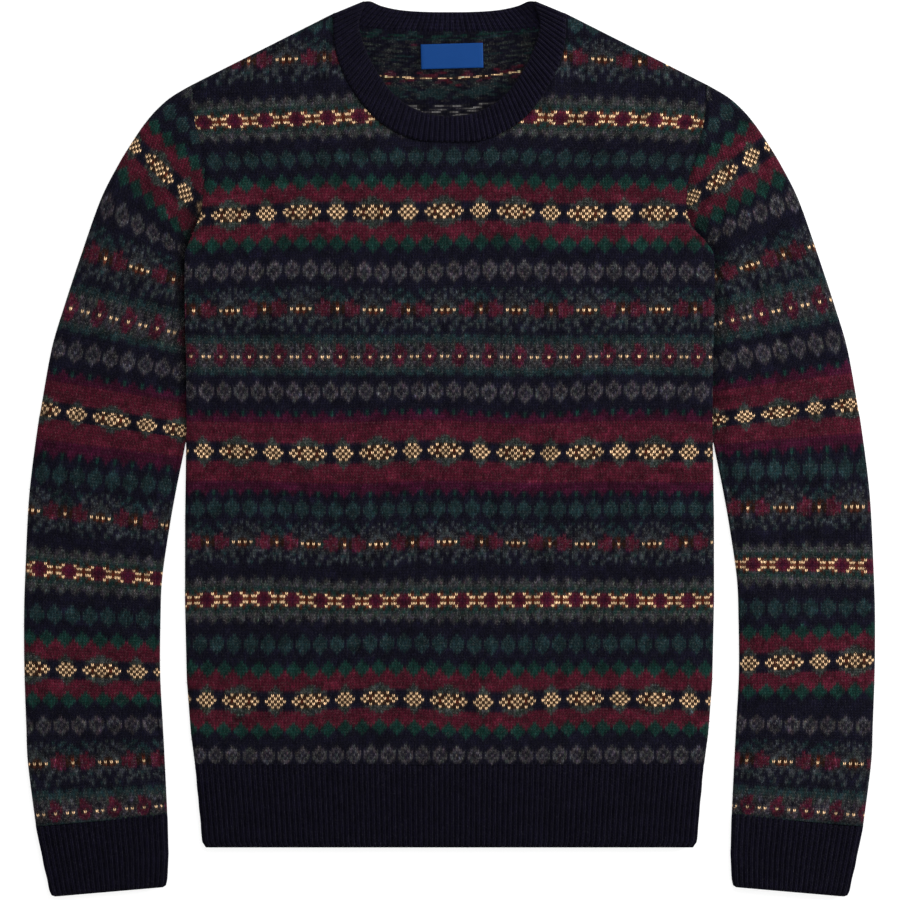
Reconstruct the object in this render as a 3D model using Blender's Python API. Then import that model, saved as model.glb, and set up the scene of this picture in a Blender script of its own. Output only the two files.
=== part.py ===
"""Striped crew-neck sweater, laid flat on its back with the front up.

+X is the wearer's left as it lies, +Y runs from hem to neck, +Z is up from the surface.
The tables are in millimetres; the meshes are in metres.
"""

import math

import bmesh
import bpy
from mathutils import Vector

OBJECT_NAME = "striped_sweater"
MM = 0.001

# Cloth, mm
WALL = 2.6            # thickness of the knitted cloth
RIB_WALL = 2.3        # thickness of the ribbed bands under their ribs
SEAM_GAP = 0.3        # clearance between two pieces that are sewn together
MIDDLE = 4.0          # height of the seam level, and the outer radius of a rolled edge
PANEL_DIP = 0.8       # how far the front lies below its rolled edges
SEAM_DIP = 0.7        # the same along an armhole, cuff or hem seam
SLEEVE_RISE = 0.4     # how far a sleeve's front stands above its rolled edges
RIB_HEIGHT = 0.7      # relief of a rib
NECK_DIP = 0.6        # how far the neck rib's edges lie below its rolled ends
NECK_CROWN = 0.3      # how far its middle stands above its edges
SLEEVE_DIP = 0.1      # how far a sleeve's front lies below its rolled edges

# Ribs, mm from ridge to ridge
HEM_RIB_PITCH = 4.33
CUFF_RIB_PITCH = 4.4
NECK_RIB_PITCH = 4.86

# How the shapes change along a piece
ROW_LIFT_POWER = 1.5      # how late the body's rows come to follow the shoulders' slope
PANEL_EDGE_POWER = 4      # how close to the side seams the front's surface rises
SLEEVE_ARCH_POWER = 0.7   # how square the sleeve's rise is across its width
SLEEVE_RISE_ROWS = 5      # sections over which the rise grows from the shoulder
SLEEVE_FALL_ROWS = 3      # sections over which it falls to the cuff
ARMHOLE_DIP_SHARE = 1 / 3   # share of the width over which the armhole seam draws it in
FOLD_START_SHARE = 1 / 6    # share of the width over which a fold starts at the seam
INSIDE_NECK_OUT = 60.0    # nearer the middle than this, the shoulder edge is cut away

# Steps across the pieces, as shares of their width
FRONT_STEPS = (0, 0.12, 0.2, 0.27, 0.33, 0.42, 0.5, 0.58, 0.67, 0.73, 0.8, 0.88, 1)
BACK_STEPS = (1, 0.8, 0.73, 0.58, 0.5, 0.42, 0.27, 0.2, 0)
SLEEVE_FRONT_STEPS = (0, 0.05, 0.12, 0.22, 0.38, 0.56, 0.78, 1)
SLEEVE_BACK_STEPS = (1, 0.62, 0.3, 0)
ROLL_STEPS = 3            # steps in a quarter turn
RIBS_PER_BACK_STEP = 9    # plain back of a ribbed tube
NECK_SAMPLES = 400        # points from which the neck rib's even ribs are chosen
TOP_TURN = 120            # ribs stand on a band up to this turn round its edge, degrees

# Cutter for the neck opening, mm
CUTTER_BELOW = 20.0
CUTTER_HEIGHT = 50.0
CUTTER_REACH = 30.0       # beyond the neck points

# Cloth colours before finishing, and the roughness
KNIT_COLOUR = (0.052, 0.045, 0.062)
RIB_COLOUR = (0.010, 0.008, 0.018)
LABEL_COLOUR = (0.006, 0.06, 0.26)
WOOL_ROUGHNESS = 0.95
LABEL_ROUGHNESS = 0.7
SHARP_ANGLE = 50.0        # degrees

# Body below the armhole: height up the garment, half width of the outline
BODY_SIDES = (
    # up, half_width
    (-262.3, 211.0),
    (-236.0, 214.5),
    (-191.7, 217.9),
    (-125.0, 219.4),
    (-59.0, 219.3),
    (4.2, 218.4),
)
# Armhole seam from underarm to shoulder: height up the garment, distance from the middle
ARMHOLE = (
    # up, out
    (15.8, 218.2),
    (62.3, 218.4),
    (94.6, 219.2),
    (137.8, 220.0),
    (165.2, 219.6),
    (176.8, 215.2),
    (200.0, 206.0),
    (224.9, 203.0),
    (249.8, 205.4),
    (268.9, 210.8),
    (289.7, 213.0),
)
# Shoulder fold line, at the middle of its roll
SHOULDER_OUT = 212.6
SHOULDER_UP = 298.0
NECK_POINT_OUT = 95.1
NECK_POINT_UP = 357.3

# Sleeve sections: inner end (on the armhole seam, then on the underarm fold) and outer end
SLEEVE_SECTIONS = (
    # inner_out, inner_up, outer_out, outer_up
    (213.0, 289.7, 214.9, 302.0),
    (210.8, 268.9, 230.3, 292.2),
    (205.4, 249.8, 242.0, 282.2),
    (203.0, 224.9, 252.7, 269.8),
    (206.0, 200.0, 263.5, 254.0),
    (215.2, 176.8, 275.1, 234.9),
    (219.6, 165.2, 289.3, 206.7),
    (220.0, 137.8, 304.6, 163.5),
    (219.2, 94.6, 319.6, 117.9),
    (218.4, 62.3, 329.9, 83.0),
    (218.2, 15.8, 338.6, 34.9),
    (219.0, 4.2, 341.1, 20.8),
    (226.2, -31.5, 346.5, -19.1),
    (232.0, -63.9, 349.4, -50.6),
    (238.2, -107.1, 351.6, -97.9),
    (239.6, -141.9, 352.8, -136.1),
    (239.9, -185.1, 352.6, -181.8),
    (237.8, -226.6, 351.0, -229.1),
    (236.1, -258.1, 349.5, -261.5),
    (233.9, -303.6, 342.9, -312.7),
)
OPEN_SECTIONS = 11    # the sections of the sleeve that end on the armhole seam

# Cuff sections: inner end and outer end
CUFF_SECTIONS = (
    # inner_out, inner_up, outer_out, outer_up
    (233.9, -303.9, 342.9, -313.0),
    (232.6, -334.5, 336.8, -343.0),
    (234.4, -363.0, 330.6, -371.3),
)
# Hem rib sections: height up the garment, half width of the outline
HEM_SECTIONS = (
    # up, half_width
    (-262.6, 210.9),
    (-300.0, 207.3),
    (-325.5, 205.2),
    (-330.3, 202.0),
)

# Neck rib, one half, from the middle of the front round to the middle of the back.
# The band's seam edge and free edge, and how far it has turned over the shoulder, degrees
NECK_SECTIONS = (
    # seam_out, seam_up, free_out, free_up, turn
    (0.0, 252.3, 0.0, 278.0, 0),
    (14.0, 253.3, 12.5, 279.0, 0),
    (27.5, 256.4, 24.0, 281.8, 0),
    (45.0, 264.2, 38.0, 288.4, 0),
    (61.0, 275.6, 50.5, 298.6, 0),
    (73.5, 290.3, 60.0, 311.2, 0),
    (83.5, 306.0, 67.5, 325.0, 0),
    (91.0, 322.5, 73.0, 339.0, 0),
    (94.8, 340.0, 75.5, 353.0, 0),
    (95.1, 357.3, 71.0, 367.6, 0),
    (95.1, 357.3, 71.0, 367.6, 90),
    (95.1, 357.3, 71.0, 367.6, 180),
    (86.0, 352.0, 64.0, 366.6, 180),
    (74.0, 348.6, 56.0, 365.6, 180),
    (57.0, 347.3, 44.0, 364.0, 180),
    (38.0, 346.6, 30.0, 362.6, 180),
    (19.0, 346.2, 15.0, 362.0, 180),
    (0.0, 346.0, 0.0, 361.9, 180),
)
NECK_FOLD_OUTWARD = Vector((0.393, 0.92, 0.0))

# Soft folds in the front of the sleeve: a trough from one end to the other
SLEEVE_FOLDS = (
    # start_out, start_up, end_out, end_up, width, depth
    (219.0, 175.0, 228.0, 20.0, 9.0, 1.3),
    (224.0, 150.0, 262.0, 118.0, 12.0, 0.9),
    (226.0, 70.0, 280.0, 20.0, 14.0, 0.8),
    (244.0, -70.0, 300.0, -98.0, 14.0, 0.7),
)

# Label, mm
LABEL_SIZE = (51.5, 22.4)
LABEL_MIDDLE = (2.1, 326.6)
LABEL_TILT = 1.5      # degrees, higher at its end on the wearer's left
LABEL_WALL = 1.0
LABEL_ROWS = 4
LABEL_COLUMNS = 8

UP = Vector((0.0, 0.0, 1.0))


def clear_scene():
    for item in list(bpy.data.objects):
        bpy.data.objects.remove(item, do_unlink=True)


def new_collection(name):
    group = bpy.data.collections.new(name)
    bpy.context.scene.collection.children.link(group)
    return group


def cloth_material(name, colour, roughness):
    material = bpy.data.materials.new(name)
    material.use_nodes = True
    shader = material.node_tree.nodes["Principled BSDF"]
    shader.inputs["Base Color"].default_value = (*colour, 1.0)
    shader.inputs["Roughness"].default_value = roughness
    shader.inputs["Metallic"].default_value = 0.0
    return material


def evenly(start, end, steps):
    """The values from start to end, both included, in equal steps."""
    return [start + (end - start) * step / steps for step in range(steps + 1)]


def plan(out, up):
    """A point of the seam level, which lies halfway between the two layers."""
    return Vector((out, up, MIDDLE))


def mirrored(rows):
    """The same rows of points on the other side of the garment, still facing out."""
    return [[Vector((-point.x, point.y, point.z)) for point in reversed(row)] for row in rows]


def add_wall(name, outer, inner, material, group, welded_from=None, ring=False):
    """A cloth wall between two grids of points, with its rims closed.

    From row welded_from on, the last column is the first one, so the wall is a tube there.
    With ring, the last row joins the first.
    """
    mesh = bmesh.new()
    skins = []
    for rows in (outer, inner):
        skin = []
        for number, row in enumerate(rows):
            points = [mesh.verts.new(point * MM) for point in row[:-1]]
            welded = welded_from is not None and number >= welded_from
            points.append(points[0] if welded else mesh.verts.new(row[-1] * MM))
            skin.append(points)
        if ring:
            skin.append(skin[0])
        skins.append(skin)
    facing_in = {far: near for far_row, near_row in zip(*skins)
                 for far, near in zip(far_row, near_row)}
    for skin in skins:
        for low, high in zip(skin, skin[1:]):
            for column in range(len(low) - 1):
                corners = [low[column], low[column + 1], high[column + 1], high[column]]
                mesh.faces.new(corners if skin is skins[0] else corners[::-1])
    rims = [edge for edge in mesh.edges if edge.is_boundary and edge.verts[0] in facing_in]
    for edge in rims:
        loop = edge.link_loops[0]
        start, end = loop.vert, loop.link_loop_next.vert
        mesh.faces.new((end, start, facing_in[start], facing_in[end]))
    bmesh.ops.recalc_face_normals(mesh, faces=mesh.faces)
    data = bpy.data.meshes.new(name)
    mesh.to_mesh(data)
    mesh.free()
    data.materials.append(material)
    data.shade_smooth()
    data.set_sharp_from_angle(angle=math.radians(SHARP_ANGLE))
    piece = bpy.data.objects.new(name, data)
    group.objects.link(piece)
    return piece


def layer_point(left, right, across, turn, reach, rolled=(True, True), layer=None):
    """A point of a flattened tube, reach away from its seam level.

    across runs from 0 at the left roll to 1 at the right roll. turn is 0 on the front, 180
    on the back, 0 to 180 round the right edge and below 0 or above 180 round the left one.
    An edge that isn't rolled is laid flat in its own layer, 0 or 180, up to its end point.
    """
    axis = (right - left).normalized()
    centre = left + axis * (MIDDLE + across * ((right - left).length - 2 * MIDDLE))
    if layer is None:
        layer = 0 if turn < 90 else 180
    at_left = turn < 0 or turn > 180
    at_right = 0 < turn < 180
    if at_left and not rolled[0]:
        centre -= axis * (MIDDLE * abs(turn - layer) / 90)
        turn = layer
    if at_right and not rolled[1]:
        centre += axis * (MIDDLE * abs(turn - layer) / 90)
        turn = layer
    angle = math.radians(turn)
    return centre + reach * (math.sin(angle) * axis + math.cos(angle) * UP)


def front_share(turn):
    """1 on the front, falling to 0 at the seam level and staying 0 on the back."""
    return max(0.0, math.cos(math.radians(turn))) ** 2


def trough(point, folds):
    """How deep the soft folds are at a point of the front."""
    depth = 0.0
    for start_out, start_up, end_out, end_up, width, deepest in folds:
        start = Vector((start_out, start_up))
        along = Vector((end_out, end_up)) - start
        offset = Vector((abs(point.x), point.y)) - start
        share = max(0.0, min(1.0, offset.dot(along) / along.length_squared))
        distance = (offset - along * share).length
        depth = max(depth, deepest * math.exp(-((distance / width) ** 2)))
    return depth


# ---------------------------------------------------------------- body panels

def shoulder_up(out):
    """Height of the shoulder fold's middle line."""
    slope = (SHOULDER_UP - NECK_POINT_UP) / (SHOULDER_OUT - NECK_POINT_OUT)
    return NECK_POINT_UP + slope * max(0.0, abs(out) - NECK_POINT_OUT)


def shoulder_outward(out):
    """Direction in which the shoulder fold rolls over."""
    if abs(out) <= INSIDE_NECK_OUT:
        return Vector((0.0, 1.0, 0.0))
    run = Vector((NECK_POINT_UP - SHOULDER_UP, SHOULDER_OUT - NECK_POINT_OUT, 0.0)).normalized()
    return Vector((math.copysign(run.x, out), run.y, 0.0))


def body_skin(columns, inset, seam_side):
    """Rows of points of a body panel, inset from its outer face.

    columns are (across, turn) pairs. seam_side is 1 for the front and -1 for the back.
    """
    underarm = BODY_SIDES[-1][0]
    rows = []
    lines = [(up, half, True) for up, half in BODY_SIDES]
    lines += [(up, out - SEAM_GAP / 2, False) for up, out in ARMHOLE]
    lines += [(SHOULDER_UP, SHOULDER_OUT - SEAM_GAP / 2, False)]
    for up, half, rolled in lines:
        lift = max(0.0, (up - underarm) / (SHOULDER_UP - underarm)) ** ROW_LIFT_POWER
        row = []
        for across, turn in columns:
            edge = abs(2 * across - 1) ** PANEL_EDGE_POWER
            dip = PANEL_DIP + (SEAM_DIP - PANEL_DIP) * edge
            reach = MIDDLE - dip * front_share(turn) - inset
            point = layer_point(plan(-half, up), plan(half, up), across, turn, reach,
                                (rolled, rolled), 0 if seam_side > 0 else 180)
            point.y += lift * (shoulder_up(point.x) - shoulder_up(half))
            if rolled and turn in (-90, 90, 270):
                point.z = MIDDLE + seam_side * SEAM_GAP / 2
            row.append(point)
        rows.append(row)
    rows[0] = [Vector((point.x, point.y + SEAM_GAP / 2, point.z)) for point in rows[0]]
    for turn in evenly(0, 90, ROLL_STEPS)[1:]:
        angle = math.radians(turn)
        row = []
        for point in rows[len(lines) - 1]:
            base = Vector((point.x, point.y, MIDDLE))
            reach = MIDDLE - SEAM_DIP * front_share(turn) * (seam_side > 0) - inset
            rolled_over = math.sin(angle) * shoulder_outward(point.x)
            point = base + reach * (rolled_over + seam_side * math.cos(angle) * UP)
            if turn == 90:
                point.z = MIDDLE + seam_side * SEAM_GAP / 2
            row.append(point)
        rows.append(row)
    return rows


def neck_cutter(name, seam_edge, group):
    """A prism over the neck opening, a seam gap larger than the neck rib's seam edge."""
    outline = []
    for seam, free in seam_edge:
        outline.append(seam + (seam - free).normalized() * SEAM_GAP)
    outline.append(outline[-1] + NECK_FOLD_OUTWARD.normalized() * CUTTER_REACH)
    outline += [Vector((-point.x, point.y, point.z)) for point in reversed(outline)
                if point.x > 1]
    mesh = bmesh.new()
    floor = mesh.faces.new([mesh.verts.new(Vector((point.x, point.y, -CUTTER_BELOW)) * MM)
                            for point in outline])
    raised = bmesh.ops.extrude_face_region(mesh, geom=[floor])
    tops = [item for item in raised["geom"] if isinstance(item, bmesh.types.BMVert)]
    bmesh.ops.translate(mesh, verts=tops, vec=(0, 0, CUTTER_HEIGHT * MM))
    bmesh.ops.recalc_face_normals(mesh, faces=mesh.faces)
    data = bpy.data.meshes.new(name)
    mesh.to_mesh(data)
    mesh.free()
    cutter = bpy.data.objects.new(name, data)
    cutter.hide_render = True
    cutter.display_type = "WIRE"
    group.objects.link(cutter)
    return cutter


def build_body(neck_half, group, cutters):
    material_front = cloth_material("knit_front", KNIT_COLOUR, WOOL_ROUGHNESS)
    material_back = cloth_material("knit_back", KNIT_COLOUR, WOOL_ROUGHNESS)
    front = [(0, turn) for turn in evenly(-90, 0, ROLL_STEPS)[:-1]]
    front += [(across, 0) for across in FRONT_STEPS]
    front += [(1, turn) for turn in evenly(0, 90, ROLL_STEPS)[1:]]
    back = [(1, turn) for turn in evenly(90, 180, ROLL_STEPS)[:-1]]
    back += [(across, 180) for across in BACK_STEPS]
    back += [(0, turn) for turn in evenly(180, 270, ROLL_STEPS)[1:]]
    fold = next(number for number, row in enumerate(neck_half) if row[2] > 0)
    unfold = next(number for number, row in enumerate(neck_half) if row[2] >= 180)
    front_edge = [row[:2] for row in neck_half[:fold]]
    back_edge = [row[:2] for row in reversed(neck_half[unfold:])]
    for name, columns, side, material, edge in (
            ("body_front", front, 1, material_front, front_edge),
            ("body_back", back, -1, material_back, back_edge)):
        piece = add_wall(name, body_skin(columns, 0, side), body_skin(columns, WALL, side),
                         material, group)
        cut = piece.modifiers.new("neck opening", "BOOLEAN")
        cut.operation = "DIFFERENCE"
        cut.object = neck_cutter(name + "_neck_cutter", edge, cutters)


# ---------------------------------------------------------------- sleeves and ribbed bands

def tube_columns(front_steps, back_steps):
    """(across, turn) pairs once round a flattened tube, from its inner edge's seam level."""
    columns = [(0, turn) for turn in evenly(-90, 0, ROLL_STEPS)[:-1]]
    columns += [(across, 0) for across in front_steps]
    columns += [(1, turn) for turn in evenly(0, 180, 2 * ROLL_STEPS)[1:-1]]
    columns += [(across, 180) for across in back_steps]
    columns += [(0, turn) for turn in evenly(180, 270, ROLL_STEPS)[1:]]
    return columns


def sleeve_skin(columns, inset):
    """Rows of points of a sleeve from shoulder to wrist, inset from its outer face."""
    rows = []
    last = len(SLEEVE_SECTIONS) - 1
    for number, (inner_out, inner_up, outer_out, outer_up) in enumerate(SLEEVE_SECTIONS):
        is_open = number < OPEN_SECTIONS
        inner = plan(inner_out + (SEAM_GAP / 2 if is_open else 0), inner_up)
        outer = plan(outer_out, outer_up)
        row = []
        full = min(1.0, number / SLEEVE_RISE_ROWS) * min(1.0, (last - number) / SLEEVE_FALL_ROWS)
        for across, turn in columns:
            rise = SLEEVE_RISE * full * math.sin(math.pi * across) ** SLEEVE_ARCH_POWER
            dip = SLEEVE_DIP
            if is_open:
                dip = SEAM_DIP * (1 - min(1.0, across / ARMHOLE_DIP_SHARE))
            if number == last:
                dip = SEAM_DIP
            fold = trough(inner.lerp(outer, across), SLEEVE_FOLDS)
            fold *= full * min(1.0, across / FOLD_START_SHARE)
            reach = MIDDLE - (dip - rise + fold) * front_share(turn) - inset
            row.append(layer_point(inner, outer, across, turn, reach, (not is_open, True)))
        rows.append(row)
    return rows


def add_pair(name, outer, inner, colour, group, welded_from):
    """A piece on the wearer's left and its mirror image on the right."""
    for side, turned in (("left", False), ("right", True)):
        skins = [mirrored(rows) if turned else rows for rows in (outer, inner)]
        material = cloth_material(name + "_" + side, colour, WOOL_ROUGHNESS)
        add_wall(name + "_" + side, *skins, material, group, welded_from)


def build_sleeves(group):
    columns = tube_columns(SLEEVE_FRONT_STEPS, SLEEVE_BACK_STEPS)
    add_pair("sleeve", sleeve_skin(columns, 0), sleeve_skin(columns, WALL),
             KNIT_COLOUR, group, OPEN_SECTIONS)


def ribbed_skin(sections, columns, inset):
    """Rows of a flattened ribbed tube; the ribs stand on every side but the one below."""
    rows = []
    for left, right in sections:
        row = []
        for number, (across, turn) in enumerate(columns):
            ridge = RIB_HEIGHT if number % 2 and turn < TOP_TURN and not inset else 0.0
            dip = (SEAM_DIP + RIB_HEIGHT / 2) * front_share(turn)
            at_side = RIB_HEIGHT * (1 - front_share(turn)) if turn < TOP_TURN else 0.0
            reach = MIDDLE - dip - at_side + ridge - inset
            row.append(layer_point(left, right, across, turn, reach))
        rows.append(row)
    return rows


def rib_columns(length, pitch):
    """Columns of a ribbed tube, with a ridge at every second one."""
    ribs = round((length - 2 * MIDDLE) / pitch)
    return tube_columns(evenly(0, 1, 2 * ribs), evenly(1, 0, ribs // RIBS_PER_BACK_STEP))


def build_cuffs(group):
    sections = [(plan(inner_out, inner_up), plan(outer_out, outer_up))
                for inner_out, inner_up, outer_out, outer_up in CUFF_SECTIONS]
    columns = rib_columns((sections[1][1] - sections[1][0]).length, CUFF_RIB_PITCH)
    add_pair("cuff", ribbed_skin(sections, columns, 0), ribbed_skin(sections, columns, RIB_WALL),
             RIB_COLOUR, group, 0)


def build_hem(group):
    sections = [(plan(-half, up), plan(half, up)) for up, half in HEM_SECTIONS]
    columns = rib_columns(2 * HEM_SECTIONS[1][1], HEM_RIB_PITCH)
    add_wall("hem_rib", ribbed_skin(sections, columns, 0),
             ribbed_skin(sections, columns, RIB_WALL),
             cloth_material("rib_hem", RIB_COLOUR, WOOL_ROUGHNESS), group, 0)


# ---------------------------------------------------------------- neck rib and label

def smooth_row(rows, place):
    """A row between the table's rows, on a smooth curve through them."""
    index = min(int(place), len(rows) - 2)
    share = place - index
    before, here, after, beyond = (rows[max(0, min(len(rows) - 1, index + step))]
                                   for step in (-1, 0, 1, 2))
    blended = []
    for p, q, r, s in zip(before, here, after, beyond):
        bend = (2 * q + (r - p) * share + (2 * p - 5 * q + 4 * r - s) * share ** 2
                + (3 * q - p - 3 * r + s) * share ** 3)
        blended.append(bend / 2)
    return blended


def neck_half():
    """(seam, free, turn) rows of the right half of the neck rib, half a rib apart."""
    front = [row for row in NECK_SECTIONS if row[4] == 0]
    back = [row for row in NECK_SECTIONS if row[4] == 180]
    rows = []
    for part, turn in ((front, 0), (back, 180)):
        fine = [smooth_row(part, place) for place in evenly(0, len(part) - 1, NECK_SAMPLES)]
        points = [(plan(row[0], row[1]), plan(row[2], row[3])) for row in fine]
        lengths = [0.0]
        for (seam, free), (next_seam, next_free) in zip(points, points[1:]):
            lengths.append(lengths[-1] + ((next_seam + next_free) - (seam + free)).length / 2)
        steps = 2 * round(lengths[-1] / NECK_RIB_PITCH)
        if turn == 180:
            rows += [(*points[0], over) for over in evenly(0, 180, 2 * ROLL_STEPS)[1:-1]]
        for step in range(steps + 1):
            wanted = lengths[-1] * step / steps
            nearest = min(range(len(lengths)), key=lambda place: abs(lengths[place] - wanted))
            rows.append((*points[nearest], turn))
    return rows


def neck_skin(half, inset):
    """Rows across the neck rib's band, all the way round."""
    last = len(half) - 1
    ring = [(number, 1) for number in range(last + 1)]
    ring += [(number, -1) for number in range(last - 1, 0, -1)]
    rows = []
    for number, side in ring:
        seam, free, turn = half[number]
        angle = math.radians(turn)
        outward = NECK_FOLD_OUTWARD.normalized()
        direction = math.sin(angle) * outward + math.cos(angle) * UP
        upper = turn < TOP_TURN
        ridge = RIB_HEIGHT if number % 2 and upper != bool(inset) else 0.0
        row = []
        for share, crown in ((0.0, 0.0), (0.5, NECK_CROWN), (1.0, 0.0)):
            point = seam.lerp(free, share)
            dip = (NECK_DIP - crown) * front_share(turn)
            reach = MIDDLE - dip - inset + (-ridge if inset else ridge * front_share(turn))
            point = point + reach * direction
            row.append(Vector((point.x * side, point.y, point.z)))
        rows.append(row)
    return rows


def build_neck_rib(half, group):
    add_wall("neck_rib", neck_skin(half, 0), neck_skin(half, RIB_WALL),
             cloth_material("rib_neck", RIB_COLOUR, WOOL_ROUGHNESS), group, ring=True)


def build_label(group):
    """The label, made from the back panel's inner face moved out by a seam gap."""
    width, height = LABEL_SIZE
    tilt = math.radians(LABEL_TILT)
    rows = []
    for level in (WALL + SEAM_GAP + LABEL_WALL, WALL + SEAM_GAP):
        skin = []
        for over in evenly(height / 2, -height / 2, LABEL_ROWS):
            row = []
            for along in evenly(-width / 2, width / 2, LABEL_COLUMNS):
                row.append(Vector((
                    LABEL_MIDDLE[0] + along * math.cos(tilt) - over * math.sin(tilt),
                    LABEL_MIDDLE[1] + along * math.sin(tilt) + over * math.cos(tilt),
                    level)))
            skin.append(row)
        rows.append(skin)
    material = cloth_material("label_cloth", LABEL_COLOUR, LABEL_ROUGHNESS)
    add_wall("label", *rows, material, group)


def main():
    clear_scene()
    group = new_collection(OBJECT_NAME)
    cutters = new_collection(OBJECT_NAME + "_cutters")
    half = neck_half()
    build_body(half, group, cutters)
    build_sleeves(group)
    build_cuffs(group)
    build_hem(group)
    build_neck_rib(half, group)
    build_label(group)


main()
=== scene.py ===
"""Striped crew-neck sweater laid flat: knitted cloth, ribs, label and stage.

Each panel is a grid of knitted stitches, two slanted faces to a stitch, coloured from charts
and laid over the frame's solids. Tables are in millimetres and meshes in metres.
+X is the wearer's left as it lies, +Y runs from hem to neck and +Z is up from the floor.
"""

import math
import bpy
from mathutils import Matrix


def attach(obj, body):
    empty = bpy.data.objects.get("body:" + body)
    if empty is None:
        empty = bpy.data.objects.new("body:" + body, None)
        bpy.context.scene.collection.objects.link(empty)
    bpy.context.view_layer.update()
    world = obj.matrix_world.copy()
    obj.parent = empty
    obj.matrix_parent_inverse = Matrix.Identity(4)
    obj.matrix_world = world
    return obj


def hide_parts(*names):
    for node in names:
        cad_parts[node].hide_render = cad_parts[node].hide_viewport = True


bl_info = {
    "name": "Striped sweater",
    "version": (1, 0, 0),
    "blender": (4, 5, 0),
    "location": "View3D > Sidebar > Sweater",
    "description": "Builds a flat laid sweater with knitted bands, ribs and a label",
    "category": "Add Mesh",
}

from functools import partial

import bpy
import numpy as np
from bpy.props import FloatProperty, FloatVectorProperty, IntProperty, PointerProperty
from mathutils import Vector

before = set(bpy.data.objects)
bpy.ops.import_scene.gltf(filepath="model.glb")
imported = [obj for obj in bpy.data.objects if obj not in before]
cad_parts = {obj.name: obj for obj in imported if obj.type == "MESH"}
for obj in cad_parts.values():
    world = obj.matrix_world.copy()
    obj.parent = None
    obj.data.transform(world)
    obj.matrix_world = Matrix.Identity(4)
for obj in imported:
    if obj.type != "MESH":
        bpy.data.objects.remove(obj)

MM = 0.001
BODY = "root"

# ---------------------------------------------------------------- measures of the sweater, mm

WALL = 2.6              # thickness of the knitted cloth
RIB_WALL = 2.4          # thickness of the ribbed bands under their ribs
SEAM_GAP = 0.3          # clearance between two pieces that are sewn together
MIDDLE = 4.0            # height of the seam level, and the radius of a rolled edge
QUARTER = MIDDLE * math.pi / 2    # cloth in a quarter turn of a rolled edge
PANEL_DIP = 0.7         # how far the front lies below its rolled edges
TUCK = 1.8              # how far a panel runs on beneath a ribbed band
UNDERARM = 4.2          # height up the garment

# Body below the armhole
SIDE_UP = (-262.3, -236.0, -191.7, -125.0, -59.0, 4.2)
SIDE_HALF = (211.0, 214.5, 217.9, 219.4, 219.3, 218.4)
# Armhole seam from underarm to shoulder
ARMHOLE_UP = (15.8, 62.3, 94.6, 137.8, 165.2, 176.8, 200.0, 224.9, 249.8, 268.9, 289.7, 300.0)
ARMHOLE_OUT = (218.2, 218.4, 219.2, 220.0, 219.6, 215.2, 206.0, 203.0, 205.4, 210.8, 213.2, 215.2)
# How much further in the seam lies on the wearer's left, where it was laid crooked
LEFT_SEAM_UP = (160.0, 170.0, 183.0, 194.0, 215.0, 230.0, 250.0)
LEFT_SEAM_IN = (0.0, 3.0, 10.5, 10.0, 6.6, 3.0, 0.0)
# Shoulder fold line
SHOULDER_OUT, SHOULDER_UP = 212.6, 298.0
NECK_POINT_OUT, NECK_POINT_UP = 95.1, 357.3
NECK_CENTRE_UP = 350.0

# Sleeve sections: inner end (on the armhole seam, then on the underarm fold) and outer end
SLEEVE_SECTIONS = (
    # inner_out, inner_up, outer_out, outer_up, knitted row
    (212.8, 289.7, 213.3, 302.2, 221.0),
    (210.8, 268.9, 230.3, 292.2, 214.5),
    (205.4, 249.8, 242.0, 282.2, 208.0),
    (203.0, 224.9, 252.7, 269.8, 200.0),
    (206.0, 200.0, 263.5, 254.0, 191.0),
    (215.2, 176.8, 275.1, 234.9, 181.5),
    (219.6, 165.2, 289.3, 206.7, 172.0),
    (220.0, 137.8, 304.6, 163.5, 158.0),
    (219.2, 94.6, 319.6, 117.9, 142.0),
    (218.4, 62.3, 329.9, 83.0, 130.0),
    (218.2, 15.8, 338.6, 34.9, 109.0),
    (219.0, 4.2, 341.1, 20.8, 103.5),
    (226.2, -31.5, 346.5, -19.1, 89.0),
    (232.0, -63.9, 349.4, -50.6, 77.0),
    (238.2, -107.1, 351.6, -97.9, 57.0),
    (239.6, -141.9, 352.8, -136.1, 42.0),
    (239.9, -185.1, 352.6, -181.8, 23.0),
    (237.8, -226.6, 351.0, -229.1, 3.0),
    (236.1, -258.1, 349.5, -261.5, -10.0),
    (233.9, -303.6, 342.9, -312.7, -31.0),
)
LAST_OPEN_SECTION = 10      # the last one that ends on the armhole seam

CUFF_SECTIONS = (
    # inner_out, inner_up, outer_out, outer_up
    (233.9, -303.9, 342.9, -313.0),
    (232.6, -334.5, 336.8, -343.0),
    (233.9, -357.2, 331.7, -366.0),
    (234.9, -361.6, 329.9, -370.0),
    (237.6, -363.3, 327.0, -371.0),
)
HEM_SECTIONS = (
    (-210.9, -262.6, 210.9, -262.6),
    (-207.3, -300.0, 207.3, -300.0),
    (-205.2, -325.5, 205.2, -325.5),
    (-202.0, -330.3, 202.0, -330.3),
)

# Neck rib from the middle of the front to the shoulder: seam edge and free edge
NECK_FRONT = (
    # seam_out, seam_up, free_out, free_up
    (0.0, 255.6, 0.0, 275.4),
    (14.0, 256.0, 12.5, 276.2),
    (28.0, 257.8, 24.0, 279.2),
    (45.0, 264.4, 38.0, 286.2),
    (61.0, 275.6, 50.5, 297.8),
    (73.5, 290.3, 60.0, 311.2),
    (83.5, 306.0, 67.5, 325.0),
    (91.0, 322.5, 73.0, 339.0),
    (94.8, 340.0, 75.5, 353.0),
    (95.1, 357.3, 71.0, 367.6),
)
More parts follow.
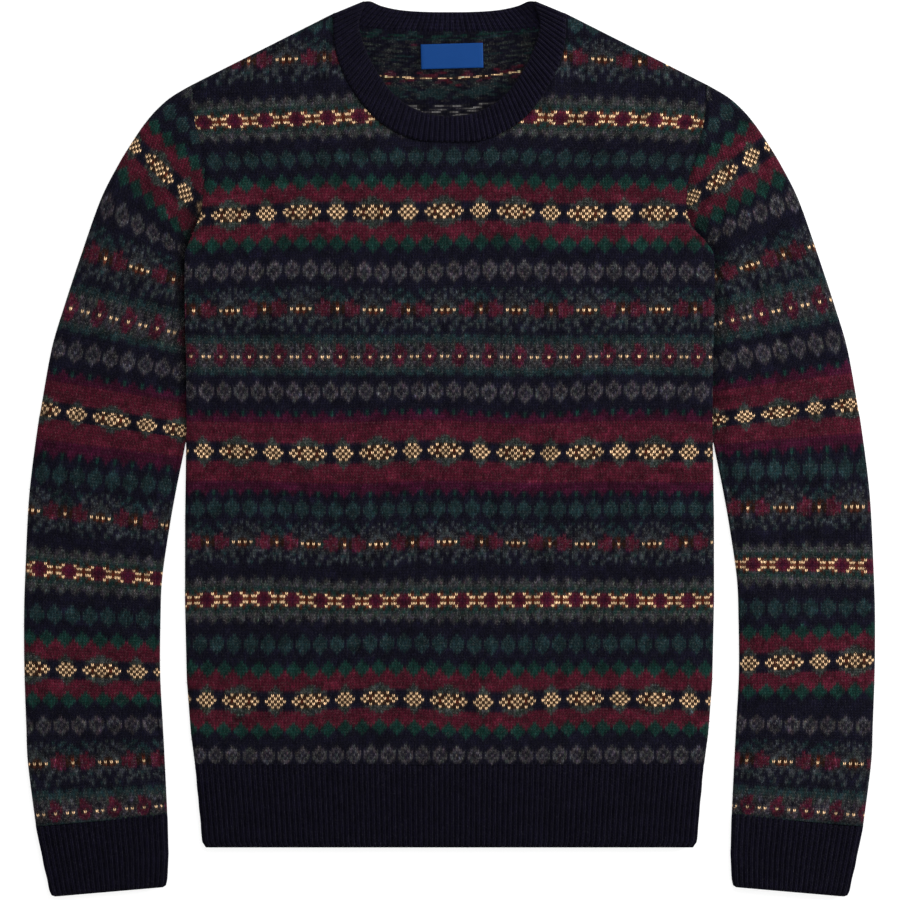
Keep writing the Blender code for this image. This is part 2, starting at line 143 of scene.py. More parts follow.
# and from the shoulder to the middle of the back
NECK_BACK = (
    (95.1, 357.3, 70.0, 371.0),
    (86.0, 352.0, 65.5, 370.5),
    (74.0, 348.6, 57.0, 366.9),
    (57.0, 347.3, 44.0, 364.0),
    (38.0, 346.6, 30.0, 362.6),
    (19.0, 346.2, 15.0, 362.0),
    (0.0, 346.0, 0.0, 361.9),
)
NECK_FOLD_OUTWARD = (0.393, 0.92)
NECK_FOLD_STEPS = (4.0, 12.0)   # where the neck's edge is drawn on past the shoulder

LABEL_SIZE = (51.5, 20.6)
LABEL_MIDDLE = (2.1, 325.9)
LABEL_TILT = 1.5        # degrees
LABEL_LIFT = 1.1        # how far it lies above the back

RIB_STITCH = 2.4        # height of a stitch in the hem and cuffs
RIB_DIP = 1.2           # how far their grooves lie below the rolled edges
RIB_SWELL = 0.36        # and how much less of it in the middle of the front
RIB_STEPS = 8           # faces across a rib
FOLD_RIBS = 3           # ribs in the neckband's fold at a shoulder

# A hair's length, half its width and how far its tip stands off the cloth
HAIR_LENGTH, HAIR_WIDTH, HAIR_RISE = (0.9, 2.6), (0.05, 0.09), (0.2, 0.9)
BODY_HAIR_AREA, SLEEVE_HAIR_AREA = 3200, 950    # square centimetres that hairs are counted for

# Soft folds: a trough in the front from one end to the other
SLEEVE_FOLDS = (
    # start_out, start_up, end_out, end_up, width, depth
    (224.0, 200.0, 226.0, 20.0, 6.0, 1.2),
    (224.0, 150.0, 262.0, 118.0, 11.0, 1.1),
    (226.0, 70.0, 280.0, 20.0, 13.0, 1.0),
    (244.0, -70.0, 300.0, -98.0, 14.0, 0.8),
)
BODY_FOLDS = (
    (186.0, 262.0, 150.0, 196.0, 16.0, 1.0),
    (205.0, 30.0, 160.0, 84.0, 18.0, 0.9),
    (92.0, 246.0, 120.0, 200.0, 16.0, 0.8),
)

# ---------------------------------------------------------------- yarns and knitting charts

YARNS = {
    # letter: colour, how flecked the yarn is
    "n": ("#0f0e1d", 0.10),    # navy
    "g": ("#0f312b", 0.26),    # dark green
    "e": ("#182c2f", 0.40),    # sea green, dusky
    "m": ("#4d1323", 0.28),    # maroon
    "r": ("#45182a", 0.80),    # maroon tweed
    "p": ("#3a0b24", 0.14),    # plum
    "k": ("#3a373c", 0.90),    # grey tweed
    "a": ("#30363a", 0.60),    # blue grey
    "q": ("#1b1a20", 0.60),    # grey tweed, darker
    "t": ("#2a312f", 0.95),    # grey green tweed
    "s": ("#21282b", 0.70),    # dusky grey green
    "o": ("#eac296", 0.00),    # gold
    "w": ("#8f8c8b", 0.30),    # pale grey
    "b": ("#2a1307", 0.20),    # bronze
    "c": ("#5a2212", 0.15),    # copper
}

# A chart is the column of its rows' first letter, counted from the middle of a large flower,
# and its rows from the top down. The letters repeat sideways.
FLOWER_TOP = (
    "tmmmmmmmmmmtttmmmmmmmmmm",
    "ttmmmmmmmtttttttmmmmmmmt",
    "tttnnnntttttttttttnnnntt",
)
FLOWER_HALF = (
    "bonnnnnnnobbobbonnnnnnno",
    "obonnnnobbbobobbbonnnnob",
)
FLOWER = (*FLOWER_HALF, "bobonnobocobobocobonnobo", *FLOWER_HALF[::-1])
ZIGZAG = ("nnngnn", "nngggn", "nggggg", "mggggg", "mmgggm", "mmmgmm", "mmmmmm", "mmmmmm")
CROSS_EDGE = ("nnqnnnnqnn", "nqktnnqktn", "qktkqqktkt", "ttkttktkkt")
CROSS_ARMS = ("segbegbges", "mmocsgscom", "pmmoocoomm")
CHARTS = {
    "flower": (-12, FLOWER_TOP + FLOWER + FLOWER_TOP[::-1]),
    "zigzag_above": (-3, ZIGZAG),
    "zigzag_below": (-3, ZIGZAG[::-1]),
    "green_diamonds": (0, ("nnnenn", "nneeen", *("neeeee",) * 3, "nneeen", "nnnenn")),
    "grey_diamonds": (0, ("nnnknn", "nnkkkn", "nkknkk", "nknknk", "nkknkk", "nnkkkn",
                          "nnnknn")),
    "navy": (0, ("n",)),
    "plum_above": (-3, ("gnnpnn", "gnpppn", *("pppppp",) * 2, *("mmmmmm",) * 5)),
    "plum_below": (-3, (*("mmmmmm",) * 5, *("pppppp",) * 3, "gnpppn", "gnnpnn")),
    "snowflake": (-12, (
        "nnnnennnennnanannnenneen",
        "ennneenannannnanannneenn",
        "eennneannanqannanqaennne",
        "neennnaanqaqanqnaaaneeae",
        "qeeanmnnnqqaaaqqnnnmnaee",
        "bqqmmrqqqqaaqaaqqqqrmmqb",
        "cqbrmmrmqaabbbaaqmrmmrbq",
        "obbrrmmrqobobobogrmmrrbb",
        "cqbrmmrmqabcbcbaqmrmmrbq",
        "kqnprmqqqqaqqqaqqqqmrpnq",
        "aaqnneaqaanqanqnaaqaennq",
        "eannnaenaannannaannannae",
        "nanaannnaannnnnaannnaana",
        "nannnaannnannnannnaannna",
        "nnnnnnanneannnaennannnnn",
    )),
    "dots": (5, (
        "nseeneseen",
        "eseeeseese",
        "esetsesete",
        "rqtkqtkqtm",
        "mrqqkqkqtm",
        "pmrkqnqkqr",
        "mqmqkqkqrp",
        "orpkokokmq",
        "mmqqkbkqpm",
        "prqkqkqkrp",
        "mqtqkqkqtr",
        "esetsstese",
        "seeeseeees",
        "nneeeneeen",
    )),
    "cross": (-5, (*CROSS_EDGE, "tsgtesteeg", *CROSS_ARMS, "ppmcccccmp", *CROSS_ARMS[::-1],
                   "gtsegtetst", *CROSS_EDGE[::-1])),
}

# The bands of a knitted repeat from the hem up: chart, rows. A chart with fewer rows than
# it is given repeats them.
REPEAT = (
    ("grey_diamonds", 7), ("navy", 3),
    ("zigzag_below", 8), ("flower", 11), ("zigzag_above", 8),
    ("navy", 2), ("green_diamonds", 7), ("navy", 3),
    ("cross", 17), ("navy", 4), ("snowflake", 15), ("navy", 1),
    ("green_diamonds", 7), ("navy", 1),
    ("plum_below", 10), ("flower", 11), ("plum_above", 9), ("navy", 3),
    ("grey_diamonds", 7), ("navy", 2), ("dots", 14), ("navy", 1), ("snowflake", 15),
    ("navy", 2),
)
# Where the body's rows lie: the middle of a row, height up the garment
BODY_ROWS = (
    (-0.5, -262.3), (3, -253.6), (23, -208.3), (42, -161.4), (57, -125.3), (77, -78.0),
    (89, -49.8), (109, -2.6), (130, 47.7), (142, 76.4), (158, 115.4), (171, 147.7),
    (191, 197.0), (210, 242.6), (225, 276.4), (245, 327.0), (257, 355.2), (266, 377.0),
)
# How wide its stitches are drawn out, and how far its middle column lies to the side
BODY_STITCHES = (
    # up, stitch width, middle
    (-262.0, 2.38, -2.0), (-208.0, 2.383, -2.4), (-125.0, 2.345, -2.6), (-3.0, 2.39, -3.8),
    (76.0, 2.473, -5.3), (148.0, 2.473, -5.6), (196.0, 2.457, -5.7), (281.0, 2.57, -5.4),
)
BODY_COLUMNS = 97         # to each side of the middle
YOKE_SPREAD = 8.0         # how far the neck opening draws the cloth beside it apart
YOKE_SPREAD_COLUMNS = 30  # over these columns from the middle
# How far a row droops, this far out from the middle and this far up from where it starts
DROOP, DROOP_OUT, DROOP_FROM, DROOP_UP = 7.5, 210.0, 124.0, 157.0

# How far the rows of the wearer's left sleeve were levelled: row, slope
LEVELLED_ROWS = ((-31, 0.0), (23, 0.0), (42, 0.03), (57, 0.095), (77, 0.085), (103, 0.05),
                 (116, 0.05), (133, 0.01), (146, 0.025), (160, 0.01), (175, 0.16),
                 (183, 0.165), (195, 0.065), (205, 0.04), (215, 0.0), (222, 0.0))
LEVELLED_ABOUT = 60.0     # the distance in from the outer fold where they stay
ROW_HEIGHT = 2.2          # of a sleeve's rows, about

# The sleeves' middle column: rows, how far it lies in from the outer fold on the wearer's
# right sleeve, and how much further in on the left one, whose rows were eased upwards
SLEEVE_ROWS = (-31, -7, 24, 57, 77, 104, 130, 143, 158, 172, 191, 210, 222)
SLEEVE_MIDDLE = (68.0, 68.0, 65.5, 62.0, 61.5, 61.5, 58.0, 56.0, 51.0, 45.0, 33.0, 18.0, 10.0)
LEFT_FURTHER = (6.0, 7.0, 11.0, 15.0, 13.0, 5.5, 5.0, 6.0, 6.5, 14.0, 17.0, 17.0, 17.0)
SLEEVE_COLUMNS = (-35, 36)
SLEEVE_CENTRED = {"cross": 5, "dots": 5}    # charts set on the middle column by these columns
EASED_ROWS = ((8, 3), (150, -1), (166, 3), (175, -3), (185, -1))   # row, rows added there

# The shade painted on the sleeves in the crease beside the armhole: its width, and the heights over
# which it comes and goes
CREASE_SHADE_WIDTH, CREASE_SHADE_START, CREASE_SHADE_END = 9.0, (20.0, 70.0), (235.0, 200.0)
# how strong the painted crease shade is on the wearer's left
LEFT_CREASE_SHADE = 0.35        # how strong it is on the wearer's left, beside the right

# The inside of the back, seen in the neck: rows of loose strands from the top down,
# their lower edge up the garment and the yarns that alternate along them
INSIDE_BANDS = (
    # lower_edge, faces to a dash, yarns
    (345.6, 3, "nnen"), (344.0, 3, "ggegn"), (342.6, 2, "nnnen"), (341.2, 3, "egnge"),
    (338.5, 3, "nsnqn"), (336.5, 2, "nqnnrnqnnnn"), (334.8, 3, "sqtsn"), (333.0, 3, "nnqnn"),
    (331.0, 3, "tnsnt"), (328.6, 3, "nqnn"), (327.0, 3, "ensse"), (325.2, 3, "nnqn"),
    (323.6, 3, "tsesn"), (321.4, 3, "nqnn"), (319.6, 3, "sntns"), (317.8, 3, "nsqn"),
    (315.8, 2, "qnsntqn"), (313.4, 2, "qnrmnnqrnnqnm"), (310.8, 2, "nrmmnqsnmrnqn"),
    (309.6, 1, "oooboqoooobqoooobnoooboqboooob"), (307.6, 2, "qsbmnqtnrmqnb"),
    (305.6, 2, "tqnsrnqtnqrnm"), (303.6, 2, "qsntqnsmqntq"), (301.6, 3, "senqs"),
    (299.4, 3, "eesen"), (297.2, 3, "neeee"), (295.0, 3, "eense"), (292.8, 3, "nene"),
    (290.6, 3, "nnqn"), (287.6, 3, "nnnn"), (286.4, 3, "wqnwk"), (285.0, 3, "nnnn"),
    (283.8, 3, "kwnkwwn"), (282.4, 3, "nnnn"), (281.2, 3, "nwkwnw"), (279.8, 3, "nnnn"),
    (278.6, 3, "wknwwk"), (277.2, 3, "nnnn"), (276.0, 3, "nkwnk"), (240.0, 3, "nnnn"),
)
# Painted shade on the inside of the back: the share of the yarns' colour kept there, all but the
# gold
INSIDE_SHADE_SHARE = 0.80       # how much of the yarns' colour comes through the dim inside
INSIDE_LOWEST, INSIDE_COLUMNS, INSIDE_ROWS = 240.0, (-44, 45), (0, 110)

# How much pale nap lies over each wool
NAP = {"patterned_wool": 0.34, "ribbed_wool": 0.22}

MIRRORED = (-1.0, 1.0, 1.0)     # turns a point of the left into one of the right
WHOLE = (0.005, 0.005, 0.995, 0.995)    # window that fills a piece's flat picture
SEEDS = {"body": 40, "sleeve": 41, "sleeve_hairs": 42, "body_hairs": 43, "inside": 44,
         "rib_hairs": 46, "hem_rib": 21, "cuffs": 22, "neck_rib": 23}


# ---------------------------------------------------------------- settings

class KnitSettings(bpy.types.PropertyGroup):
    """The knitting's gauge and how far it is brushed."""

    stitch_width: FloatProperty(
        name="Stitch width", description="Width of one stitch",
        default=0.00245, min=0.001, unit="LENGTH")
    slant: FloatProperty(
        name="Slant", description="How far a stitch's legs slant, as a share of a row",
        default=0.62, min=0.0, max=1.0, subtype="FACTOR")
    bleed: FloatProperty(
        name="Brushing", description="How far each stitch's colour spreads into the next",
        default=0.45, min=0.0, max=1.0, subtype="FACTOR")
    waviness: FloatProperty(
        name="Waviness", description="Height of the soft unevenness of the cloth",
        default=0.0005, min=0.0, unit="LENGTH")
    relief: FloatProperty(
        name="Stitch relief", description="Height of a stitch's yarn over the gaps",
        default=0.0010, min=0.0, unit="LENGTH")
    hairs: FloatProperty(
        name="Hairs", description="Loose hairs of the nap to each square centimetre",
        default=2.6, min=0.0)
    # Painted shade: how far the sleeves' colour is darkened in the crease at the armhole
    crease_shade: FloatProperty(
        name="Crease shade", description="How dark the sleeves are in the crease at the armhole",
        default=0.75, min=0.0, max=1.0, subtype="FACTOR")
    sheen: FloatProperty(
        name="Sheen", description="Strength of the nap's soft light",
        default=0.015, min=0.0, max=1.0, subtype="FACTOR")


class RibSettings(bpy.types.PropertyGroup):
    """The ribbed bands."""

    hem_ribs: IntProperty(name="Hem ribs", description="Ribs across the front of the hem",
                          default=96, min=4)
    cuff_ribs: IntProperty(name="Cuff ribs", description="Ribs across the front of a cuff",
                           default=25, min=4)
    neck_pitch: FloatProperty(
        name="Neck rib pitch", description="Distance between two ribs of the neck",
        default=0.00420, min=0.001, unit="LENGTH")
    hairs: FloatProperty(
        name="Hairs", description="Loose hairs of the nap to each square centimetre",
        default=2.0, min=0.0)
    tone: FloatProperty(
        name="Tone", description="How pale the hem and cuffs are beside the neck",
        default=0.75, min=0.0, max=2.0)
    height: FloatProperty(
        name="Rib height", description="Height of a rib over the groove beside it",
        default=0.0016, min=0.0, unit="LENGTH")


class LabelSettings(bpy.types.PropertyGroup):
    """The woven neck label."""

    colour: FloatVectorProperty(
        name="Colour", description="Colour of the label's cloth", size=3, subtype="COLOR",
        default=(0.002, 0.038, 0.165), min=0.0, max=1.0)
    thickness: FloatProperty(
        name="Thickness", description="Thickness of the label's cloth",
        default=0.0007, min=0.0001, unit="LENGTH")


class StageSettings(bpy.types.PropertyGroup):
    """The floor, the light and the camera."""

    floor_colour: FloatVectorProperty(
        name="Floor", description="Colour of the floor", size=3, subtype="COLOR",
        default=(0.35, 0.35, 0.35), min=0.0, max=1.0)
    floor_glow: FloatProperty(
        name="Floor glow", description="How far the floor is lit from below",
        default=0.8, min=0.0)
    light_strength: FloatProperty(
        name="Light", description="Power of the overhead light",
        default=24.0, min=0.0, unit="POWER")
    fill_strength: FloatProperty(
        name="Fill", description="Strength of the light from all round",
        default=0.56, min=0.0)
    lens: FloatProperty(
        name="Lens", description="Focal length of the camera, in millimetres",
        default=200.0, min=10.0)


# ---------------------------------------------------------------- small helpers

def srgb_to_linear(code):
    """The linear colour of a hexadecimal colour code."""
    parts = [int(code[place:place + 2], 16) / 255 for place in (1, 3, 5)]
    return [part / 12.92 if part <= 0.04045 else ((part + 0.055) / 1.055) ** 2.4
            for part in parts]


def clamp(value):
    return np.clip(value, 0.0, 1.0)


def hump(distance, width):
    """One where there is no distance, and next to nothing two widths away."""
    return np.exp(-((distance / width) ** 2))


def smooth_step(start, end, value):
    share = clamp((value - start) / (end - start))
    return share * share * (3 - 2 * share)


def joined(*parts):
    """Coordinates side by side in a last axis."""
    return np.stack(np.broadcast_arrays(*parts), axis=-1)


def waves(x, y, size, seed):
    """A smooth uneven field of about unit height, its lumps about size across."""
    random = np.random.default_rng(seed)
    total = np.zeros(np.broadcast(x, y).shape)
    for _ in range(9):
        angle, phase = random.uniform(0, 2 * math.pi, 2)
        pace = 2 * math.pi / (size * random.uniform(1.2, 3.2))
        total += np.sin((x * math.cos(angle) + y * math.sin(angle)) * pace + phase)
    return total / 3.0


def unevenness(x, y, large, small, seed):
    """Waves of two sizes, the small ones lower."""
    return waves(x, y, large, seed) + 0.6 * waves(x, y, small, seed + 1)


def smooth_between(place, values):
    """Values at places between the table's rows, on a smooth curve through them."""
    values = np.asarray(values, float)
    last = len(values) - 1
    index = np.clip(np.floor(place).astype(int), 0, last - 1)
    share = place - index
    p, q, r, s = (values[np.clip(index + step, 0, last)] for step in (-1, 0, 1, 2))
    return (2 * q + (r - p) * share + (2 * p - 5 * q + 4 * r - s) * share ** 2
            + (3 * q - p - 3 * r + s) * share ** 3) / 2


def smooth_rows(place, table):
    """The same for each of a table's first four columns."""
    return [smooth_between(place, [row[column] for row in table]) for column in range(4)]


def trough(out, up, folds):
    """How deep the soft folds are at points of the front."""
    depth = np.zeros(np.broadcast(out, up).shape)
    for start_out, start_up, end_out, end_up, width, deepest in folds:
        run_out, run_up = end_out - start_out, end_up - start_up
        share = clamp(((out - start_out) * run_out + (up - start_up) * run_up)
                      / (run_out ** 2 + run_up ** 2))
        distance = np.hypot(out - start_out - share * run_out, up - start_up - share * run_up)
        depth = np.maximum(depth, deepest * hump(distance, width))
    return depth


def chart_rows():
    """The repeat's rows from the hem up, each as (chart, first column, letters)."""
    return [(name, CHARTS[name][0], CHARTS[name][1][-1 - number % len(CHARTS[name][1])])
            for name, count in REPEAT for number in range(count)]


def yarn_table():
    """The yarns' letters, and a row of colour and fleck for each."""
    letters = sorted(YARNS)
    return letters, np.array([[*srgb_to_linear(YARNS[letter][0]), YARNS[letter][1]]
                              for letter in letters])


def chart_colours(columns, rows, seed, legs, shifts):
    """Colour and fleck of each face, from one column to another for row numbers.

    legs is how many faces a stitch has. shifts gives charts that are set to the side by
    some columns. No two legs of a yarn are quite alike, flecked yarns least of all.
    """
    repeat = chart_rows()
    letters, table = yarn_table()
    picked = []
    for row in rows:
        name, first, drawn = repeat[int(row) % len(repeat)]
        places = np.arange(*columns) - first - shifts.get(name, 0)
        picked.append([letters.index(drawn[place % len(drawn)]) for place in places])
    picked = np.array(picked)
    colours = np.repeat(table[picked], legs, axis=1)
    random = np.random.default_rng(seed)
    count = colours.shape[:2]
    fleck = colours[..., 3]
    change = random.normal(0.0, 1.0, count) * (0.13 + 0.24 * fleck)
    stitch_change = np.repeat(random.normal(0.0, 1.0, picked.shape), legs, axis=1)
    change += stitch_change * (0.10 + 0.16 * fleck)
    patches = random.normal(0.0, 0.16, (count[0] // 2 + 1, count[1] // 9 + 1))
    change += np.kron(patches, np.ones((2, 9)))[:count[0], :count[1]]
    hue = random.normal(0.0, 1.0, (*count, 3)) * (0.13 * fleck)[..., None]
    colours[..., :3] *= np.exp(change[..., None] + hue)
    brightest = colours[..., :3].max(axis=-1, keepdims=True)
    colours[..., :3] /= np.maximum(brightest, 1.0)
    return colours


class Cloth:
    """A mesh being put together from grids of faces that share their points."""

    def __init__(self):
        self.parts, self.count = [], 0

    def add(self, points, faces, *values):
        """Adds points, and faces that are numbered from the first of them.

        The values are the faces' colours, and their corners' places among the stitches and
        in the flat picture.
        """
        self.parts.append((points, faces + self.count, *values))
        self.count += len(points)

    def add_grid(self, points, colours, numbers, window, stitches=None, inside=True,
                 flip=False):
        """Adds the faces of a grid with a corner inside. Colours are per face.

        numbers are the points' columns and rows. The window is where the grid lies in the
        piece's flat picture: left, bottom, right and top. stitches are the points' places
        among the stitches, where these aren't their columns and rows.
        """
        shape = points.shape[:2]
        order = np.arange(shape[0] * shape[1]).reshape(shape)
        corners = joined(order[:-1, :-1], order[:-1, 1:], order[1:, 1:], order[1:, :-1])
        if flip:
            corners = corners[..., ::-1]
        kept = np.broadcast_to(inside, shape).ravel()[corners].any(axis=-1)
        corners = corners[kept]
        used = np.unique(corners)
        renumber = np.full(order.size, -1)
        renumber[used] = np.arange(len(used))
        flats = joined(*(start + (number - number.min()) / np.ptp(number) * (end - start)
                         for number, start, end in zip(numbers, window, window[2:])))
        stitches = joined(*numbers) if stitches is None else stitches
        self.add(points.reshape(-1, 3)[used], renumber[corners], colours[kept],
                 stitches.reshape(-1, 2)[corners], flats.reshape(-1, 2)[corners])

    def add_hairs(self, count, seed):
        """Loose hairs of the nap on the first grid, most of them where it turns down."""
        if count < 1:
            return
        random = np.random.default_rng(seed)
        points, faces, colours, _, flats = self.parts[0]
        corners = points[faces]
        across = (corners[:, 1] + corners[:, 2] - corners[:, 0] - corners[:, 3]) / 2
        along = (corners[:, 2] + corners[:, 3] - corners[:, 0] - corners[:, 1]) / 2
        normal = np.cross(across, along)
        size = np.linalg.norm(normal, axis=1)
        normal /= np.maximum(size, 1e-9)[:, None]
        weight = size * (1.0 + 9.0 * (np.abs(normal[:, 2]) < 0.75))
        face = random.choice(len(size), count, p=weight / weight.sum())
        across, along, normal = across[face], along[face], normal[face]
        share = random.uniform(0.0, 1.0, (2, count, 1))
        root = corners[face, 0] + across * share[0] + along * share[1]
        angle = random.uniform(0.0, 2 * math.pi, count)[:, None]
        unit_across = across / np.linalg.norm(across, axis=1)[:, None]
        way = unit_across * np.cos(angle) + np.cross(normal, unit_across) * np.sin(angle)
        length, width = (random.uniform(*limits, (count, 1))
                         for limits in (HAIR_LENGTH, HAIR_WIDTH))
        side = np.cross(normal, way) * width
        tip = root + way * length + normal * random.uniform(*HAIR_RISE, (count, 1))
        root = root - normal * 0.15
        hairs = np.stack([root - side, root + side, tip + side * 0.4, tip - side * 0.4], axis=1)
        hairs[..., 2] = np.maximum(hairs[..., 2], 0.05)
        colours, flats = colours[face], flats[face]
        # painted highlight: the hairs are paler than their yarn, for the light caught by the fuzz,
        # and sit in the middle of a leg, where no gap shade is painted
        colours[:, :3] = colours[:, :3] * 1.15 + 0.012
        middle = flats.mean(axis=1, keepdims=True)
        self.add(hairs.reshape(-1, 3), np.arange(4 * count).reshape(count, 4), colours,
                 np.tile([0.25, 0.5], (count, 4, 1)), middle + (flats - middle) * 0.2)

    def build(self, node, material, bleed, weld=False):
        """The finished piece, which rides on the frame in place of a node of the CAD.

        Each corner's colour leans towards its neighbours'. With weld, points in the same
        place become one.
        """
        name = node + "_cloth"
        points, faces, colours, stitches, flats = map(np.concatenate, zip(*self.parts))
        if weld:
            _, kept, number = np.unique(np.round(points, 4), axis=0, return_index=True,
                                        return_inverse=True)
            points, faces = points[kept], number.reshape(-1)[faces]
        mesh = bpy.data.meshes.new(name)
        mesh.from_pydata((points * MM).tolist(), [], faces.tolist())
        pale = smooth_step(0.10, 0.40, colours[:, 1])[:, None]
        share = 1 - 0.85 * pale
        total, uses = np.zeros((len(points), 4)), np.zeros((len(points), 1))
        for corner in range(4):
            np.add.at(total, faces[:, corner], colours * share)
            np.add.at(uses, faces[:, corner], share)
        around = total / np.maximum(uses, 1e-6)
        lean = (bleed * (1 - 0.8 * pale))[:, None]
        corner_colours = colours[:, None, :] * (1 - lean) + around[faces] * lean
        yarn = mesh.color_attributes.new("yarn", "FLOAT_COLOR", "CORNER")
        yarn.data.foreach_set("color", corner_colours.astype(np.float32).ravel())
        for label, values in (("OFBake", flats), ("stitches", stitches)):
            layer = mesh.uv_layers.new(name=label)
            layer.uv.foreach_set("vector", values.astype(np.float32).ravel())
        mesh.shade_smooth()
        mesh.materials.append(material)
        piece = bpy.data.objects.new(name, mesh)
        bpy.context.scene.collection.objects.link(piece)
        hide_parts(node)
        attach(piece, BODY)
        return piece


# ---------------------------------------------------------------- how the cloth lies

def neck_edge(table, tuck):
    """Distance of a neck seam from the neck's centre, for angles above the wearer's left."""
    seam_out, seam_up, free_out, free_up = smooth_rows(np.linspace(0, len(table) - 1, 120), table)
    length = np.hypot(free_out - seam_out, free_up - seam_up)
    out = seam_out + (free_out - seam_out) / length * tuck
    up = seam_up + (free_up - seam_up) / length * tuck
    fold = (out[-1], up[-1]) if table is NECK_FRONT else (NECK_POINT_OUT, NECK_POINT_UP)
    out, up = (np.append(edge, [start + way * step for step in NECK_FOLD_STEPS])
               for edge, start, way in zip((out, up), fold, NECK_FOLD_OUTWARD))
    angle = np.arctan2(up - NECK_CENTRE_UP, out)
    order = np.argsort(angle)
    return angle[order], np.hypot(up - NECK_CENTRE_UP, out)[order]


def body_across(column, up):
    """How far from the middle a column of the body's stitches lies at a height."""
    heights, widths, middles = zip(*BODY_STITCHES)
    spread = YOKE_SPREAD * smooth_step(225.0, 290.0, up)
    spread = spread * np.clip(column / YOKE_SPREAD_COLUMNS, -1.0, 1.0)
    return column * np.interp(up, heights, widths) + np.interp(up, heights, middles) + spread


def rolled(out, up, reach, lean, way, front):
    """Points at a reach from the seam level, leaning over the way the cloth rolls."""
    sideways = reach * np.sin(lean)
    rise = reach * np.cos(lean) * (1 if front else -1)
    return joined(out + sideways * way[0], up + sideways * way[1], MIDDLE + rise)


def lay_body(across, up, front, waviness):
    """Where body cloth lies. across and up are measured along the flat cloth from its middle.

    Returns the points and which of them are inside the panel's outline.
    """
    side = np.where(across < 0, -1.0, 1.0)
    distance = np.abs(across)
    flat = np.interp(up, SIDE_UP, SIDE_HALF) - MIDDLE
    beyond = clamp((distance - flat) / QUARTER)
    opened = smooth_step(UNDERARM, ARMHOLE_UP[0], up)
    armhole = np.interp(up, ARMHOLE_UP, ARMHOLE_OUT) - SEAM_GAP / 2
    armhole = armhole - (across > 0) * np.interp(up - 3.0, LEFT_SEAM_UP, LEFT_SEAM_IN)
    inside = np.where(opened < 0.5, distance < flat + QUARTER, distance < armhole)
    out = np.minimum(distance, flat) * (1 - opened) + np.minimum(distance, armhole) * opened
    turn = beyond * (1 - opened) * math.pi / 2
    to_armhole = armhole - out

    # rows droop towards the shoulders
    droop = DROOP * (out / DROOP_OUT) ** 2 * np.clip((up - DROOP_FROM) / DROOP_UP, 0.0, 1.6)
    plan_up = up - droop + 0.9 * waves(out * side, up, 70.0, 3) * smooth_step(
        SIDE_UP[0], SIDE_UP[0] + 30.0, up)
    plan_out = out * side + np.where(to_armhole > 8, 0.6, 0.0) * (1 - beyond) * waves(
        out * side, up, 60.0, 4) * smooth_step(0.0, 30.0, flat - distance)

    # the neck opening
    angle = np.arctan2(plan_up - NECK_CENTRE_UP, np.abs(plan_out))
    from_centre = np.hypot(plan_up - NECK_CENTRE_UP, plan_out)
    edge = np.interp(angle, *neck_edge(*((NECK_FRONT, TUCK) if front else (NECK_BACK, 1.0))))
    grow = np.maximum(1.0, edge / np.maximum(from_centre, 1e-6))
    inside &= from_centre > edge
    to_neck = from_centre - edge
    plan_out = plan_out * grow
    plan_up = NECK_CENTRE_UP + (plan_up - NECK_CENTRE_UP) * grow

    # over the shoulder
    run = np.array([NECK_POINT_UP - SHOULDER_UP, SHOULDER_OUT - NECK_POINT_OUT])
    normal_out, normal_up = run / np.hypot(*run)
    over = (np.abs(plan_out) - SHOULDER_OUT) * normal_out + (plan_up - SHOULDER_UP) * normal_up
    over = np.where(np.abs(plan_out) > NECK_POINT_OUT / 2, over, -1.0)
    inside &= over < QUARTER
    past = np.maximum(over, 0.0)
    plan_out = plan_out - past * normal_out * side
    plan_up = plan_up - past * normal_up
    lean = np.where(past > 0, np.clip(past / MIDDLE, 0.0, math.pi / 2), turn)
    way = np.where(past > 0, normal_out * side, side), np.where(past > 0, normal_up, 0.0)

    reach = np.full(lean.shape, MIDDLE)
    if front:
        level = np.cos(lean) ** 2
        reach = reach - PANEL_DIP * level
        open_face = level * smooth_step(0.0, 14.0, np.where(opened > 0, to_armhole, 14.0))
        reach = reach + open_face * waviness * unevenness(plan_out, plan_up, 34.0, 15.0, 5)
        reach = reach - open_face * trough(np.abs(plan_out), plan_up, BODY_FOLDS)
        groove = np.maximum(hump(to_armhole, 2.6) * opened,
                            hump(np.maximum(to_neck - TUCK, 0.0), 2.2))
        hem = hump(np.maximum(up - SIDE_UP[0], 0.0), 3.0)
        reach = reach - level * np.maximum(1.3 * groove, 1.2 * hem)
    return rolled(plan_out, plan_up, reach, lean, way, front), inside


